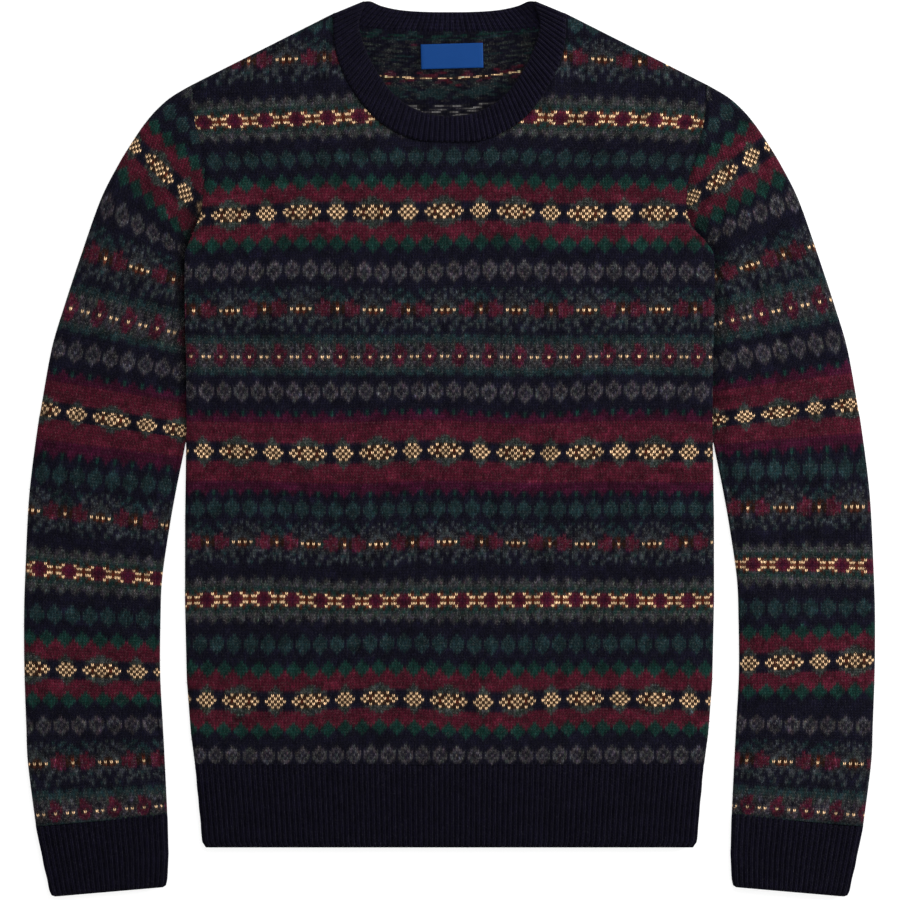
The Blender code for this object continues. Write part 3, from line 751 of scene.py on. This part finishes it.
def lay_sleeve(across, row, front, left, waviness):
    """Where a sleeve's cloth lies, drawn on the wearer's left.

    across is measured in from the outer fold.
    """
    rows = [section[4] for section in SLEEVE_SECTIONS]
    place = np.interp(row, rows[::-1], np.arange(len(rows))[::-1])
    inner_out, inner_up, outer_out, outer_up = smooth_rows(place, SLEEVE_SECTIONS)
    if left:
        inner_out = inner_out - np.interp(inner_up, LEFT_SEAM_UP, LEFT_SEAM_IN)
    length = np.hypot(inner_out - outer_out, inner_up - outer_up)
    axis_out, axis_up = (inner_out - outer_out) / length, (inner_up - outer_up) / length
    closed = smooth_step(LAST_OPEN_SECTION, LAST_OPEN_SECTION + 1, place)
    tuck = TUCK if front else 0.0
    flat = (length - 2 * MIDDLE) * closed + (length - MIDDLE + tuck) * (1 - closed)
    outer_turn = clamp((QUARTER - across) / QUARTER) * math.pi / 2
    run = np.maximum(across - QUARTER, 0.0)
    inner_turn = clamp((run - flat) / QUARTER) * closed * math.pi / 2
    inside = (across < QUARTER + flat + QUARTER * closed) & (row <= rows[0]) & (
        row >= rows[-1] - 1) & (across >= -0.01)
    run = MIDDLE + np.minimum(run, flat)
    out, up = outer_out + axis_out * run, outer_up + axis_up * run
    lean = np.maximum(outer_turn, inner_turn)
    way = np.where(inner_turn > 0, 1.0, -1.0)
    reach = np.full(lean.shape, MIDDLE)
    if front:
        level = np.cos(lean) ** 2
        full = clamp(place / 5) * clamp((len(rows) - 1 - place) / 2)
        swell = np.sin(math.pi * clamp(across / (length + 4.0))) ** 0.7
        reach = reach + level * full * (0.7 * swell - 0.1)
        reach = reach + level * waviness * unevenness(out, up, 30.0, 14.0, 8)
        reach = reach - level * full * trough(out, up, SLEEVE_FOLDS)
        to_seam = length - tuck - run
        from_seam = np.maximum(to_seam, 0.0)
        groove = 1.2 * hump(from_seam, 2.2) * (1 - closed)
        shoulder = smooth_between(place, [section < 190.0 for section in rows])
        groove = np.maximum(groove + 2.5 * hump(from_seam, 9.0) * shoulder,
                            1.4 * hump(row - rows[-1], 1.4))
        under = np.where(to_seam < 0, 0.8, 0.0) * (1 - closed)
        reach = reach - level * (groove + under + 0.1)
    return rolled(out, up, reach, lean, (way * axis_out, way * axis_up), front), inside


def number_grid(columns, rows):
    """Column and row number of each point of a grid."""
    return np.meshgrid(*(np.arange(low, high + 1.0) for low, high in (columns, rows)))


def stitch_grid(columns, rows, slant, legs):
    """Column and row number of each point of a panel of stitches, and its row as it slants.

    With two legs a stitch has two slanted faces, and with one it has one straight face.
    """
    step = np.arange(legs * (columns[1] - columns[0]) + 1)
    column, row = np.meshgrid(columns[0] + step / legs, np.arange(rows[0], rows[1] + 1.0))
    return column, row, row + np.where(step % legs == 0, 0.5, -0.5) * slant


# ---------------------------------------------------------------- finishes

def plug(tree, node, links):
    """Sets a node's inputs. links are (input, socket or value) pairs."""
    for name, value in links:
        if isinstance(value, bpy.types.NodeSocket):
            tree.links.new(value, node.inputs[name])
        else:
            node.inputs[name].default_value = value


def add_node(tree, kind, links=(), **settings):
    """Adds a shader node with its settings and inputs."""
    made = tree.nodes.new(kind)
    for name, value in settings.items():
        setattr(made, name, value)
    plug(tree, made, links)
    return made


def calculate(tree, operation, *values):
    """A maths node's result."""
    return add_node(tree, "ShaderNodeMath", enumerate(values), operation=operation).outputs[0]


def mix(tree, factor, first, second, data_type="RGBA", blend_type="MIX"):
    """A mix of two colours, or of two plain values."""
    links = ("Factor", factor), ("A", first), ("B", second)
    return add_node(tree, "ShaderNodeMix", links, data_type=data_type,
                    blend_type=blend_type).outputs["Result"]


def spread(tree, value, low, high):
    """How far a value is on its way from low to high."""
    links = ("Value", value), ("From Min", low), ("From Max", high)
    return add_node(tree, "ShaderNodeMapRange", links).outputs["Result"]


def noise(tree, place, scale, detail, roughness=0.5, distortion=0.0):
    """A noise texture's value."""
    links = (("Vector", place), ("Scale", scale), ("Detail", detail), ("Roughness", roughness),
             ("Distortion", distortion))
    return add_node(tree, "ShaderNodeTexNoise", links).outputs["Fac"]


def new_group(name, place, results):
    """An empty node group from a vector to some values: its tree, the vector and its end."""
    group = bpy.data.node_groups.new(name, "ShaderNodeTree")
    group.interface.new_socket(place, in_out="INPUT", socket_type="NodeSocketVector")
    for label in results:
        group.interface.new_socket(label, in_out="OUTPUT", socket_type="NodeSocketFloat")
    start, end = group.nodes.new("NodeGroupInput"), group.nodes.new("NodeGroupOutput")
    return group, start.outputs[0], end


def yarn_relief():
    """Height of the yarn across and along each leg of a stitch, and a value for each leg."""
    group, stitch, end = new_group("yarn_relief", "Stitch", ("Height", "Core", "Leg"))
    parts = add_node(group, "ShaderNodeSeparateXYZ", [(0, stitch)]).outputs
    across, along = calculate(group, "MULTIPLY", parts[0], 2.0), parts[1]
    arches = []
    for value in (across, along):
        share = calculate(group, "FRACT", value)
        arch = calculate(group, "SINE", calculate(group, "MULTIPLY", share, math.pi))
        arches.append(calculate(group, "MAXIMUM", arch, 0.001))
    height, core = (
        calculate(group, "MULTIPLY", *(calculate(group, "POWER", arch, power)
                                       for arch, power in zip(arches, powers)))
        for powers in ((0.8, 0.35), (1.5, 0.6)))
    cell = add_node(group, "ShaderNodeCombineXYZ",
                    [(0, calculate(group, "FLOOR", across)), (1, calculate(group, "FLOOR", along))])
    chance = add_node(group, "ShaderNodeTexWhiteNoise", [("Vector", cell.outputs[0])],
                      noise_dimensions="2D")
    plug(group, end, (("Height", height), ("Core", core), ("Leg", chance.outputs["Value"])))
    return group


def wool_fibres():
    """Brushed fibres: fine streaks in three directions, and flecks and patches."""
    group, place, end = new_group("wool_fibres", "Place", ("Streaks", "Flecks", "Patches"))
    streaks = []
    for angle, size in ((0.6, (2600.0, 420.0, 900.0)), (-0.9, (2300.0, 380.0, 900.0)),
                        (1.7, (2900.0, 520.0, 900.0))):
        turned = add_node(group, "ShaderNodeMapping",
                          [("Vector", place), ("Rotation", (0.0, 0.0, angle)), ("Scale", size)])
        streaks.append(noise(group, turned.outputs[0], 1.0, 3.0, 0.62, 0.6))
    strongest = calculate(group, "MAXIMUM", streaks[0],
                          calculate(group, "MAXIMUM", *streaks[1:]))
    plug(group, end, (("Streaks", spread(group, strongest, 0.52, 0.78)),
                      ("Flecks", spread(group, noise(group, place, 850.0, 3.0, 0.75), 0.54, 0.68)),
                      ("Patches", noise(group, place, 90.0, 4.0, 0.65))))
    return group


def use_group(tree, make, place):
    """The outputs of the group that a function makes the first time it is asked for."""
    group = bpy.data.node_groups.get(make.__name__) or make()
    return add_node(tree, "ShaderNodeGroup", [(0, place)], node_tree=group).outputs


def new_material(name):
    """An empty material, its tree and its shader."""
    material = bpy.data.materials.new(name)
    material.use_nodes = True
    return material, material.node_tree, material.node_tree.nodes["Principled BSDF"]


def wool(name):
    """Brushed wool in the mesh's yarn colours, made the first time a piece asks for it."""
    if name in bpy.data.materials:
        return bpy.data.materials[name]
    settings = bpy.context.scene.sweater_knit
    material, tree, shader = new_material(name)
    multiply, scale = (partial(calculate, tree, kind) for kind in ("MULTIPLY", "MULTIPLY_ADD"))
    yarn = add_node(tree, "ShaderNodeAttribute", attribute_name="yarn").outputs
    stitch = add_node(tree, "ShaderNodeUVMap", uv_map="stitches")
    place = add_node(tree, "ShaderNodeTexCoord")
    relief = use_group(tree, yarn_relief, stitch.outputs[0])
    fibres = use_group(tree, wool_fibres, place.outputs["Object"])
    flecks = multiply(yarn["Alpha"], multiply(fibres["Flecks"], 0.60))
    flecked = mix(tree, flecks, yarn["Color"], (0.24, 0.235, 0.22, 1.0))
    # painted shade: the yarn's colour is darker in the gaps between the legs of the stitches,
    # darker still for pale yarns, times a random tone for each leg and in patches
    shade = scale(relief["Core"], 0.66, 0.52)
    parts = add_node(tree, "ShaderNodeSeparateColor", [("Color", yarn["Color"])])
    pale = spread(tree, parts.outputs["Green"], 0.10, 0.45)
    shade = mix(tree, pale, shade, scale(relief["Core"], 2.05, -0.14), "FLOAT")
    shade = multiply(shade, scale(relief["Leg"], 0.40, 0.80))
    shade = multiply(shade, scale(fibres["Patches"], 1.3, 0.35))
    shaded = mix(tree, 1.0, flecked, shade, blend_type="MULTIPLY")
    napped = mix(tree, multiply(fibres["Streaks"], NAP[name]), shaded, (0.030, 0.029, 0.038, 1.0))
    height = scale(fibres["Streaks"], 0.35, relief["Height"])
    bump = add_node(tree, "ShaderNodeBump",
                    [("Strength", 0.8), ("Distance", settings.relief), ("Height", height)])
    plug(tree, shader, (
        ("Base Color", napped), ("Normal", bump.outputs[0]), ("Roughness", 0.93),
        ("Specular IOR Level", 0.02), ("Sheen Weight", settings.sheen),
        ("Sheen Roughness", 0.45)))
    return material


def woven_material(name, colour):
    """Fine satin weave for the label."""
    material, tree, shader = new_material(name)
    stitch = add_node(tree, "ShaderNodeUVMap", uv_map="stitches").outputs[0]
    weave = add_node(tree, "ShaderNodeTexChecker", [("Vector", stitch), ("Scale", 1.0)])
    threads = noise(tree, stitch, 0.8, 2.0)
    share = calculate(tree, "MULTIPLY_ADD", weave.outputs["Fac"], 0.25,
                      calculate(tree, "MULTIPLY", threads, 0.5))
    dark, light = ((*[min(1.0, part * tone) for part in colour], 1.0) for tone in (0.8, 1.7))
    tint = mix(tree, share, dark, light)
    bump = add_node(tree, "ShaderNodeBump",
                    [("Strength", 0.5), ("Distance", 0.0002), ("Height", share)])
    plug(tree, shader, (("Base Color", tint), ("Normal", bump.outputs[0]), ("Roughness", 0.60),
                        ("Specular IOR Level", 0.12)))
    return material


# ---------------------------------------------------------------- pieces

class SWEATER_OT_body(bpy.types.Operator):
    """Knit the front and the back of the body."""

    bl_idname = "sweater.body"
    bl_label = "Body"

    def execute(self, context):
        knit = context.scene.sweater_knit
        columns, rows = (-BODY_COLUMNS, BODY_COLUMNS), (0, BODY_ROWS[-1][0])
        for name, front in (("body_front", True), ("body_back", False)):
            legs = 2 if front else 1
            column, line, slanted = stitch_grid(columns, rows, knit.slant, legs)
            up = np.interp(np.maximum(slanted, 0.0) - 0.5, *zip(*BODY_ROWS))
            points, inside = lay_body(body_across(column, up), up, front, knit.waviness / MM)
            cloth = Cloth()
            colours = chart_colours(columns, np.arange(*rows), SEEDS["body"], legs, {})
            window = WHOLE if front else (0.005, 0.005, 0.66, 0.995)
            cloth.add_grid(points, colours, (column, line), window, inside=inside,
                           flip=not front)
            if front:
                cloth.add_hairs(round(knit.hairs * BODY_HAIR_AREA), SEEDS["body_hairs"])
            else:
                self.add_inside(cloth, knit.stitch_width / MM)
            piece = cloth.build(name, wool("patterned_wool"), knit.bleed)
        return {"FINISHED"}

    def add_inside(self, cloth, stitch):
        """The inner face of the back with its loose strands, seen through the neck."""
        column, line = number_grid(INSIDE_COLUMNS, INSIDE_ROWS)
        out, up = column * stitch, INSIDE_LOWEST + line
        sag = 2.4 - 0.00105 * out ** 2 - 0.033 * out
        level = WALL + 0.35 * (1 + np.sin((up + sag) * math.pi)) + 0.3 * waves(out, up, 26.0, 11)
        seam_out, seam_up = zip(*(row[:2] for row in NECK_BACK[::-1]))
        back_seam = np.interp(np.abs(out), seam_out, seam_up) + 1.5
        letters, table = yarn_table()
        edges = [band[0] for band in INSIDE_BANDS]
        bands = ((up + sag + 0.5)[:-1, :-1, None] < edges).sum(axis=-1)
        bands = np.minimum(bands, len(edges) - 1)
        colours = np.zeros((*bands.shape, 4))
        for (row, step), band in np.ndenumerate(bands):
            _, width, yarns = INSIDE_BANDS[band]
            dash = (step + band % width) // width + band * 2
            colours[row, step] = table[letters.index(yarns[dash % len(yarns)])]
        random = np.random.default_rng(SEEDS["inside"])
        # painted shade: the strands on the inside are darkened, all but the gold; then a random
        # tone for each face
        inside_shade = np.where(colours[..., :1] > 0.5, 1.0, INSIDE_SHADE_SHARE)
        colours[..., :3] *= inside_shade * random.lognormal(0.0, 0.25, bands.shape)[..., None]
        cloth.add_grid(joined(out, np.minimum(up, back_seam), level), np.minimum(colours, 1.0),
                       (column, line), (0.67, 0.005, 0.995, 0.30), inside=up < back_seam)


class SWEATER_OT_sleeves(bpy.types.Operator):
    """Knit both sleeves, each a flattened tube."""

    bl_idname = "sweater.sleeves"
    bl_label = "Sleeves"

    def execute(self, context):
        knit = context.scene.sweater_knit
        columns, rows = SLEEVE_COLUMNS, (SLEEVE_ROWS[0], SLEEVE_ROWS[-1])
        for side in ("left", "right"):
            left = side == "left"
            cloth = Cloth()
            middle, numbers, shade = np.array(SLEEVE_MIDDLE), np.arange(*rows), knit.crease_shade
            if left:
                middle, shade = middle + LEFT_FURTHER, shade * LEFT_CREASE_SHADE
                for start, more in EASED_ROWS:
                    numbers = np.where(numbers < start, numbers,
                                       np.maximum(numbers - more, start))
            for front, window in ((True, (0.005, 0.005, 0.6, 0.995)),
                                  (False, (0.61, 0.005, 0.995, 0.995))):
                legs = 2 if front else 1
                column, line, slanted = stitch_grid(columns, rows, knit.slant, legs)
                across = column * (knit.stitch_width / MM) + np.interp(line, SLEEVE_ROWS, middle)
                if left:
                    slope = np.interp(line, *zip(*LEVELLED_ROWS))
                    slanted = slanted + slope * (across - LEVELLED_ABOUT) / ROW_HEIGHT
                points, inside = lay_sleeve(across, np.maximum(slanted, rows[0]) - 0.5,
                                            front, left, knit.waviness / MM)
                if not left:
                    points = points * MIRRORED
                colours = chart_colours(columns, numbers, SEEDS["sleeve"], legs, SLEEVE_CENTRED)
                # painted shade: the sleeve's colour is darkened in the crease beside the armhole
                colours[..., :3] *= 1 - shade * self.crease(points)[..., None]
                cloth.add_grid(points, colours, (column, line), window, inside=inside,
                               flip=front == left)
            cloth.add_hairs(round(knit.hairs * SLEEVE_HAIR_AREA), SEEDS["sleeve_hairs"])
            piece = cloth.build("sleeve_" + side, wool("patterned_wool"),
                                knit.bleed)
        return {"FINISHED"}

    def crease(self, points):
        """How far each face lies in the crease beside the armhole, where shade is painted on the
        sleeve's colour.
        """
        out, up, _ = np.moveaxis((points[:-1, :-1] + points[1:, 1:]) / 2, -1, 0)
        beyond = np.abs(out) - np.interp(up, ARMHOLE_UP, ARMHOLE_OUT)
        return (hump(np.maximum(beyond, 0.0), CREASE_SHADE_WIDTH) * smooth_step(*CREASE_SHADE_START, up)
                * smooth_step(*CREASE_SHADE_END, up))


def rib_profile(phase):
    """Height of a rib across one pitch: a knit column with two legs, and a groove."""
    return clamp(np.sin(math.pi * phase) ** 0.9 - 0.16 * hump(phase - 0.5, 0.09))


def rib_slant(phase):
    """How far along its stitch a rib's point lies, in stitches: both legs slant."""
    return 0.5 - clamp(np.abs(phase - 0.5) / 0.3)


def rib_stitch(column):
    """Where a rib's points lie in stitches: two legs, then the groove's back of a stitch."""
    return 1.5 * np.floor(column) + np.interp(
        column % 1.0, (0.0, 0.2, 0.5, 0.8, 1.0), (-0.25, 0.0, 0.5, 1.0, 1.25))


def band_colours(phase, random, tone):
    """Navy yarn for a ribbed band, with painted shade: paler on the ribs and darker in the grooves,
    and uneven from stitch to stitch.
    """
    middle = (phase[:-1, :-1] + (phase[:-1, 1:] - phase[:-1, :-1]) % 1.0 / 2) % 1.0
    colours = np.zeros((*middle.shape, 4))
    colours[:] = [*srgb_to_linear(YARNS["n"][0]), YARNS["n"][1]]
    # painted shade and light: darker in the grooves and paler on the ribs, times the band's tone
    # and a random tone
    tone_and_rib_shade = tone * (0.72 + 0.62 * rib_profile(middle)) * random.uniform(0.8, 1.2, middle.shape)
    colours[..., :3] *= tone_and_rib_shade[..., None] * (1.0, 0.88, 1.0)
    return colours


def lay_tube(left, right, share, front, height):
    """Points of a ribbed flattened tube. height is each point's height over the grooves."""
    span = right - left
    length = np.hypot(span[..., 0], span[..., 1])
    cloth_length = length - 2 * MIDDLE + 2 * QUARTER
    run = share * cloth_length
    left_turn, right_turn = (clamp(edge / QUARTER) * math.pi / 2
                             for edge in (QUARTER - run, run - cloth_length + QUARTER))
    lean, way = np.maximum(left_turn, right_turn), np.where(right_turn > 0, 1.0, -1.0)
    flat = MIDDLE + np.clip(run - QUARTER, 0.0, length - 2 * MIDDLE)
    level = np.cos(lean)
    if front:
        reach = MIDDLE - RIB_DIP + RIB_SWELL * level ** 2 + height
    else:
        reach = MIDDLE - RIB_DIP / 2 * (1 - level ** 2)
    plan = left + span / length[..., None] * (flat + reach * np.sin(lean) * way)[..., None]
    return plan, reach * level * (1 if front else -1)


def ribbed_tube(name, sections, ribs, settings, mirrored, seed):
    """A flattened ribbed tube between two seams' ends, ribs on its front and sides."""
    random = np.random.default_rng(seed)
    knit = bpy.context.scene.sweater_knit
    table = np.array(sections, float)
    left, right = table[:, :2], table[:, 2:]
    middle = (left + right) / 2
    distance = np.concatenate([[0.0], np.cumsum(np.linalg.norm(np.diff(middle, axis=0), axis=1))])
    total = distance[-1]
    along = np.concatenate([[-TUCK], np.linspace(0, total - 2.0, round(total / RIB_STITCH)),
                            total - np.array([1.4, 0.8, 0.3, 0.0])])
    cloth = Cloth()
    for front, steps in ((True, RIB_STEPS), (False, 2)):
        column, line = np.meshgrid(np.arange(ribs * steps + 1) / steps,
                                   np.arange(float(len(along))))
        phase = column % 1.0
        shift = knit.slant * RIB_STITCH * (rib_slant(phase) if front else -0.5)
        near_edge = np.minimum(1.0, np.minimum(along + TUCK, total - along) / 5.0)[:, None]
        run = along[:, None] + shift * near_edge
        before = np.minimum(run, 0.0)[..., None] * (middle[1] - middle[0]) / distance[1]
        ends = [joined(*(np.interp(run, distance, values) for values in side.T)) + before
                for side in (left, right)]
        height = settings.height / MM * rib_profile(phase)
        height = height * (1 + 0.12 * waves(column, line, 5.0, seed))
        plan, rise = lay_tube(*ends, column / ribs, front, height)
        squash = np.sqrt(np.clip(1 - clamp((run - total + 3.0) / 3.2) ** 2, 0.05, 1.0))
        if front:
            top = hump(np.maximum(run, 0.0), 2.4)
            rise = rise - 1.6 * top * clamp(rise / MIDDLE)
        points = np.concatenate([plan, (MIDDLE + rise * squash)[..., None]], axis=-1)
        if mirrored:
            points = points * MIRRORED
        window = (0.005, 0.505, 0.995, 0.995) if front else (0.005, 0.005, 0.995, 0.495)
        cloth.add_grid(points, band_colours(phase, random, settings.tone), (column, line),
                       window, joined(rib_stitch(column), line), flip=front != mirrored)
    cloth.add_hairs(round(settings.hairs * total * (right - left)[0, 0] / 100),
                    SEEDS["rib_hairs"])
    return cloth.build(name, wool("ribbed_wool"), knit.bleed, weld=True)


class SWEATER_OT_hem_rib(bpy.types.Operator):
    """Knit the ribbed hem."""

    bl_idname = "sweater.hem_rib"
    bl_label = "Hem rib"

    def execute(self, context):
        ribs = context.scene.sweater_ribs
        piece = ribbed_tube("hem_rib", HEM_SECTIONS, ribs.hem_ribs, ribs, False,
                            SEEDS["hem_rib"])
        return {"FINISHED"}


class SWEATER_OT_cuffs(bpy.types.Operator):
    """Knit both ribbed cuffs."""

    bl_idname = "sweater.cuffs"
    bl_label = "Cuffs"

    def execute(self, context):
        ribs = context.scene.sweater_ribs
        for side, mirrored in (("left", False), ("right", True)):
            piece = ribbed_tube("cuff_" + side, CUFF_SECTIONS, ribs.cuff_ribs, ribs, mirrored,
                                SEEDS["cuffs"])
        return {"FINISHED"}


class SWEATER_OT_neck_rib(bpy.types.Operator):
    """Knit the ribbed neckband, folded over at the shoulders."""

    bl_idname = "sweater.neck_rib"
    bl_label = "Neck rib"

    def execute(self, context):
        knit, ribs = context.scene.sweater_knit, context.scene.sweater_ribs
        seam, free, turn, column = self.half_ring(ribs.neck_pitch / MM)
        last = len(column) - 1
        order = np.concatenate([np.arange(last), np.arange(last, -1, -1)])
        back = np.arange(len(order)) > last
        seam, free, turn, total = seam[order], free[order], turn[order], 2 * column[-1]
        column = np.where(back, total - column[order], column[order])
        side = np.where(back, -1.0, 1.0)
        # points round the band's section: the seam, the outer face, the free edge, the inner
        # face and the seam again. Each has its share of the way to the free edge and its depth
        outer = np.linspace(0.0, 1.0, 12)
        shares = np.concatenate([[-0.07], outer, [1.02, 1.035, 1.02], outer[::-2], [-0.07]])
        depth = np.concatenate([[1.2], np.zeros(12), [0.7, 1.4, 2.1],
                                np.full(6, RIB_WALL), [1.2]])[:, None]
        line = np.arange(float(len(shares)))[:, None]
        phase = column % 1.0
        share = shares[:, None] + ((line > 1) & (line < 12)) * knit.slant * 0.09 * rib_slant(phase)
        profile = ribs.height / MM * rib_profile(phase)
        level = np.cos(turn)
        up_level = np.maximum(level, 0.0)
        crown = 0.5 * np.sin(math.pi * clamp(share))
        outer_reach = (MIDDLE - 0.9 + crown * up_level ** 2 + profile * clamp(level + 0.35)
                       + 0.5 * up_level)
        outer_reach = np.where(level < 0, np.minimum(outer_reach, MIDDLE), outer_reach)
        inner_reach = MIDDLE - RIB_WALL - 0.2 - profile * clamp(-level) * 0.8
        is_inner = (line >= 16) & (line < len(shares) - 1)
        reach = np.where(is_inner, inner_reach, outer_reach - depth)
        outward = np.array(NECK_FOLD_OUTWARD) / np.hypot(*NECK_FOLD_OUTWARD)
        tapered = (reach * (1 - 0.4 * clamp(share)) * np.sin(turn))[..., None]
        plan = seam + (free - seam) * share[..., None] + tapered * outward
        points = joined(plan[..., 0] * side, plan[..., 1], MIDDLE + reach * level)
        random = np.random.default_rng(SEEDS["neck_rib"])
        colours = band_colours(np.broadcast_to(phase, share.shape), random, 1.0)
        cloth = Cloth()
        cloth.add_grid(points, colours, (column, line), WHOLE, joined(rib_stitch(column), line))
        piece = cloth.build("neck_rib", wool("ribbed_wool"), knit.bleed, weld=True)
        return {"FINISHED"}

    def half_ring(self, pitch):
        """Seam, free edge, turn and rib count from the middle of the front to that of the back."""
        parts, columns = [], 0
        for table, turn in ((NECK_FRONT, 0.0), (NECK_BACK, math.pi)):
            edges = np.array(smooth_rows(np.linspace(0, len(table) - 1, 500), table))
            steps = np.diff((edges[:2] + edges[2:]) / 2, axis=1)
            run = np.concatenate([[0.0], np.cumsum(np.hypot(*steps))])
            ribs = round(run[-1] / pitch)
            even = np.linspace(0, run[-1], RIB_STEPS * ribs + 1)
            parts.append([*(np.interp(even, run, edge) for edge in edges),
                          np.full(len(even), turn), columns + np.arange(len(even)) / RIB_STEPS])
            columns += ribs
            if table is NECK_FRONT:
                fold = np.arange(1, RIB_STEPS * FOLD_RIBS) / (RIB_STEPS * FOLD_RIBS)
                parts.append([*(start + (end - start) * fold
                                for start, end in zip(NECK_FRONT[-1], NECK_BACK[0])),
                              fold * math.pi, columns + FOLD_RIBS * fold])
                columns += FOLD_RIBS
        seam_out, seam_up, free_out, free_up, turn, column = np.concatenate(parts, axis=1)
        return joined(seam_out, seam_up), joined(free_out, free_up), turn, column


class SWEATER_OT_label(bpy.types.Operator):
    """Sew in the small woven label, which is left bare."""

    bl_idname = "sweater.label"
    bl_label = "Label"

    def execute(self, context):
        settings = context.scene.sweater_label
        width, height = LABEL_SIZE
        cell = number_grid((0, 60), (0, 28))
        across, over = np.meshgrid(np.linspace(-1, 1, 61), np.linspace(-1, 1, 29))
        x, y = across * width / 2, over * height / 2
        fold, edge = hump(1 - np.abs(across), 0.035), hump(1 - np.abs(over), 0.05)
        seam = hump(np.abs(across) - 0.93, 0.012)
        level = WALL + LABEL_LIFT + settings.thickness / MM - 0.5 * fold - 0.3 * edge
        level = level - 0.22 * seam * (0.6 + 0.4 * np.sin(y * 2.6)) + 0.12 * waves(x, y, 16.0, 31)
        tilt = math.radians(LABEL_TILT)
        out = LABEL_MIDDLE[0] + x * math.cos(tilt) - y * math.sin(tilt)
        up = LABEL_MIDDLE[1] + x * math.sin(tilt) + y * math.cos(tilt)
        top, under = joined(out, up, level), joined(out, up, np.minimum(level - 0.3, WALL + 0.5))
        blue = np.zeros((28, 60, 4))
        blue[..., :3] = settings.colour
        weave = joined(x * 4.0, y * 4.0)
        cloth = Cloth()
        cloth.add_grid(top, blue, cell, (0.01, 0.5, 0.99, 0.99), weave)
        cloth.add_grid(under, blue, cell, (0.01, 0.1, 0.99, 0.45), weave, flip=True)
        for number, (upper, lower) in enumerate((
                (top[0], under[0]), (under[-1], top[-1]),
                (under[:, 0], top[:, 0]), (top[:, -1], under[:, -1]))):
            count = len(upper)
            low = 0.01 + 0.02 * number
            cloth.add_grid(np.stack([lower, upper]), blue[:1, :1].repeat(count - 1, axis=1),
                           number_grid((0, count - 1), (0, 1)), (0.01, low, 0.99, low + 0.012),
                           np.zeros((2, count, 2)))
        satin = woven_material("label_satin", settings.colour)
        piece = cloth.build("label", satin, 0.0, weld=True)
        return {"FINISHED"}


class SWEATER_OT_stage(bpy.types.Operator):
    """Set the floor, the soft light and the camera straight above."""

    bl_idname = "sweater.stage"
    bl_label = "Stage"

    def execute(self, context):
        stage = context.scene.sweater_stage
        mesh = bpy.data.meshes.new("floor")
        half, level = 4.0, -0.0004
        mesh.from_pydata([(-half, -half, level), (half, -half, level), (half, half, level),
                          (-half, half, level)], [], [(0, 1, 2, 3)])
        floor = bpy.data.objects.new("floor", mesh)
        context.scene.collection.objects.link(floor)
        material, tree, shader = new_material("floor_paper")
        plug(tree, shader, (
            ("Base Color", (*stage.floor_colour, 1.0)), ("Roughness", 0.9),
            ("Emission Color", (1.0, 1.0, 1.0, 1.0)), ("Emission Strength", stage.floor_glow)))
        mesh.materials.append(material)
        for name, place, width, share in (("overhead", (0.5, 1.5, 1.7), 1.4, 1.1),
                                          ("side", (2.1, 0.35, 0.72), 0.5, 1.5)):
            lamp = bpy.data.lights.new(name, "AREA")
            lamp.size, lamp.energy = width, stage.light_strength * share
            light = bpy.data.objects.new(name, lamp)
            light.location = place
            light.rotation_euler = (-Vector(place)).to_track_quat("-Z", "Y").to_euler()
            context.scene.collection.objects.link(light)
        world = bpy.data.worlds.new("studio")
        world.use_nodes = True
        plug(world.node_tree, world.node_tree.nodes["Background"],
             (("Color", (1.0, 1.0, 1.0, 1.0)), ("Strength", stage.fill_strength)))
        context.scene.world = world
        context.scene.view_settings.view_transform = "Standard"
        lens = bpy.data.cameras.new("camera")
        lens.lens, lens.sensor_width = stage.lens, 36.0
        lens.dof.use_dof = False
        camera = bpy.data.objects.new("camera", lens)
        view_width = 0.747
        camera.location = (0.0004, -0.0008, view_width * lens.lens / lens.sensor_width)
        context.scene.collection.objects.link(camera)
        context.scene.camera = camera
        return {"FINISHED"}


OPERATORS = (
    SWEATER_OT_body, SWEATER_OT_sleeves, SWEATER_OT_hem_rib, SWEATER_OT_cuffs,
    SWEATER_OT_neck_rib, SWEATER_OT_label, SWEATER_OT_stage,
)


class SWEATER_PT_panel(bpy.types.Panel):
    """The sweater's pieces."""

    bl_label = "Sweater"
    bl_idname = "SWEATER_PT_panel"
    bl_space_type = "VIEW_3D"
    bl_region_type = "UI"
    bl_category = "Sweater"

    def draw(self, context):
        for operator in OPERATORS:
            self.layout.operator(operator.bl_idname)


SETTINGS = (
    ("sweater_knit", KnitSettings), ("sweater_ribs", RibSettings),
    ("sweater_label", LabelSettings), ("sweater_stage", StageSettings),
)


def register():
    for name, group in SETTINGS:
        bpy.utils.register_class(group)
        setattr(bpy.types.Scene, name, PointerProperty(type=group))
    for operator in OPERATORS:
        bpy.utils.register_class(operator)
    bpy.utils.register_class(SWEATER_PT_panel)


def unregister():
    bpy.utils.unregister_class(SWEATER_PT_panel)
    for operator in reversed(OPERATORS):
        bpy.utils.unregister_class(operator)
    for name, group in reversed(SETTINGS):
        delattr(bpy.types.Scene, name)
        bpy.utils.unregister_class(group)


def main():
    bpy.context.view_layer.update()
    register()
    for operator in OPERATORS:
        part, name = operator.bl_idname.split(".")
        getattr(getattr(bpy.ops, part), name)()


if __name__ == "__main__":
    main()
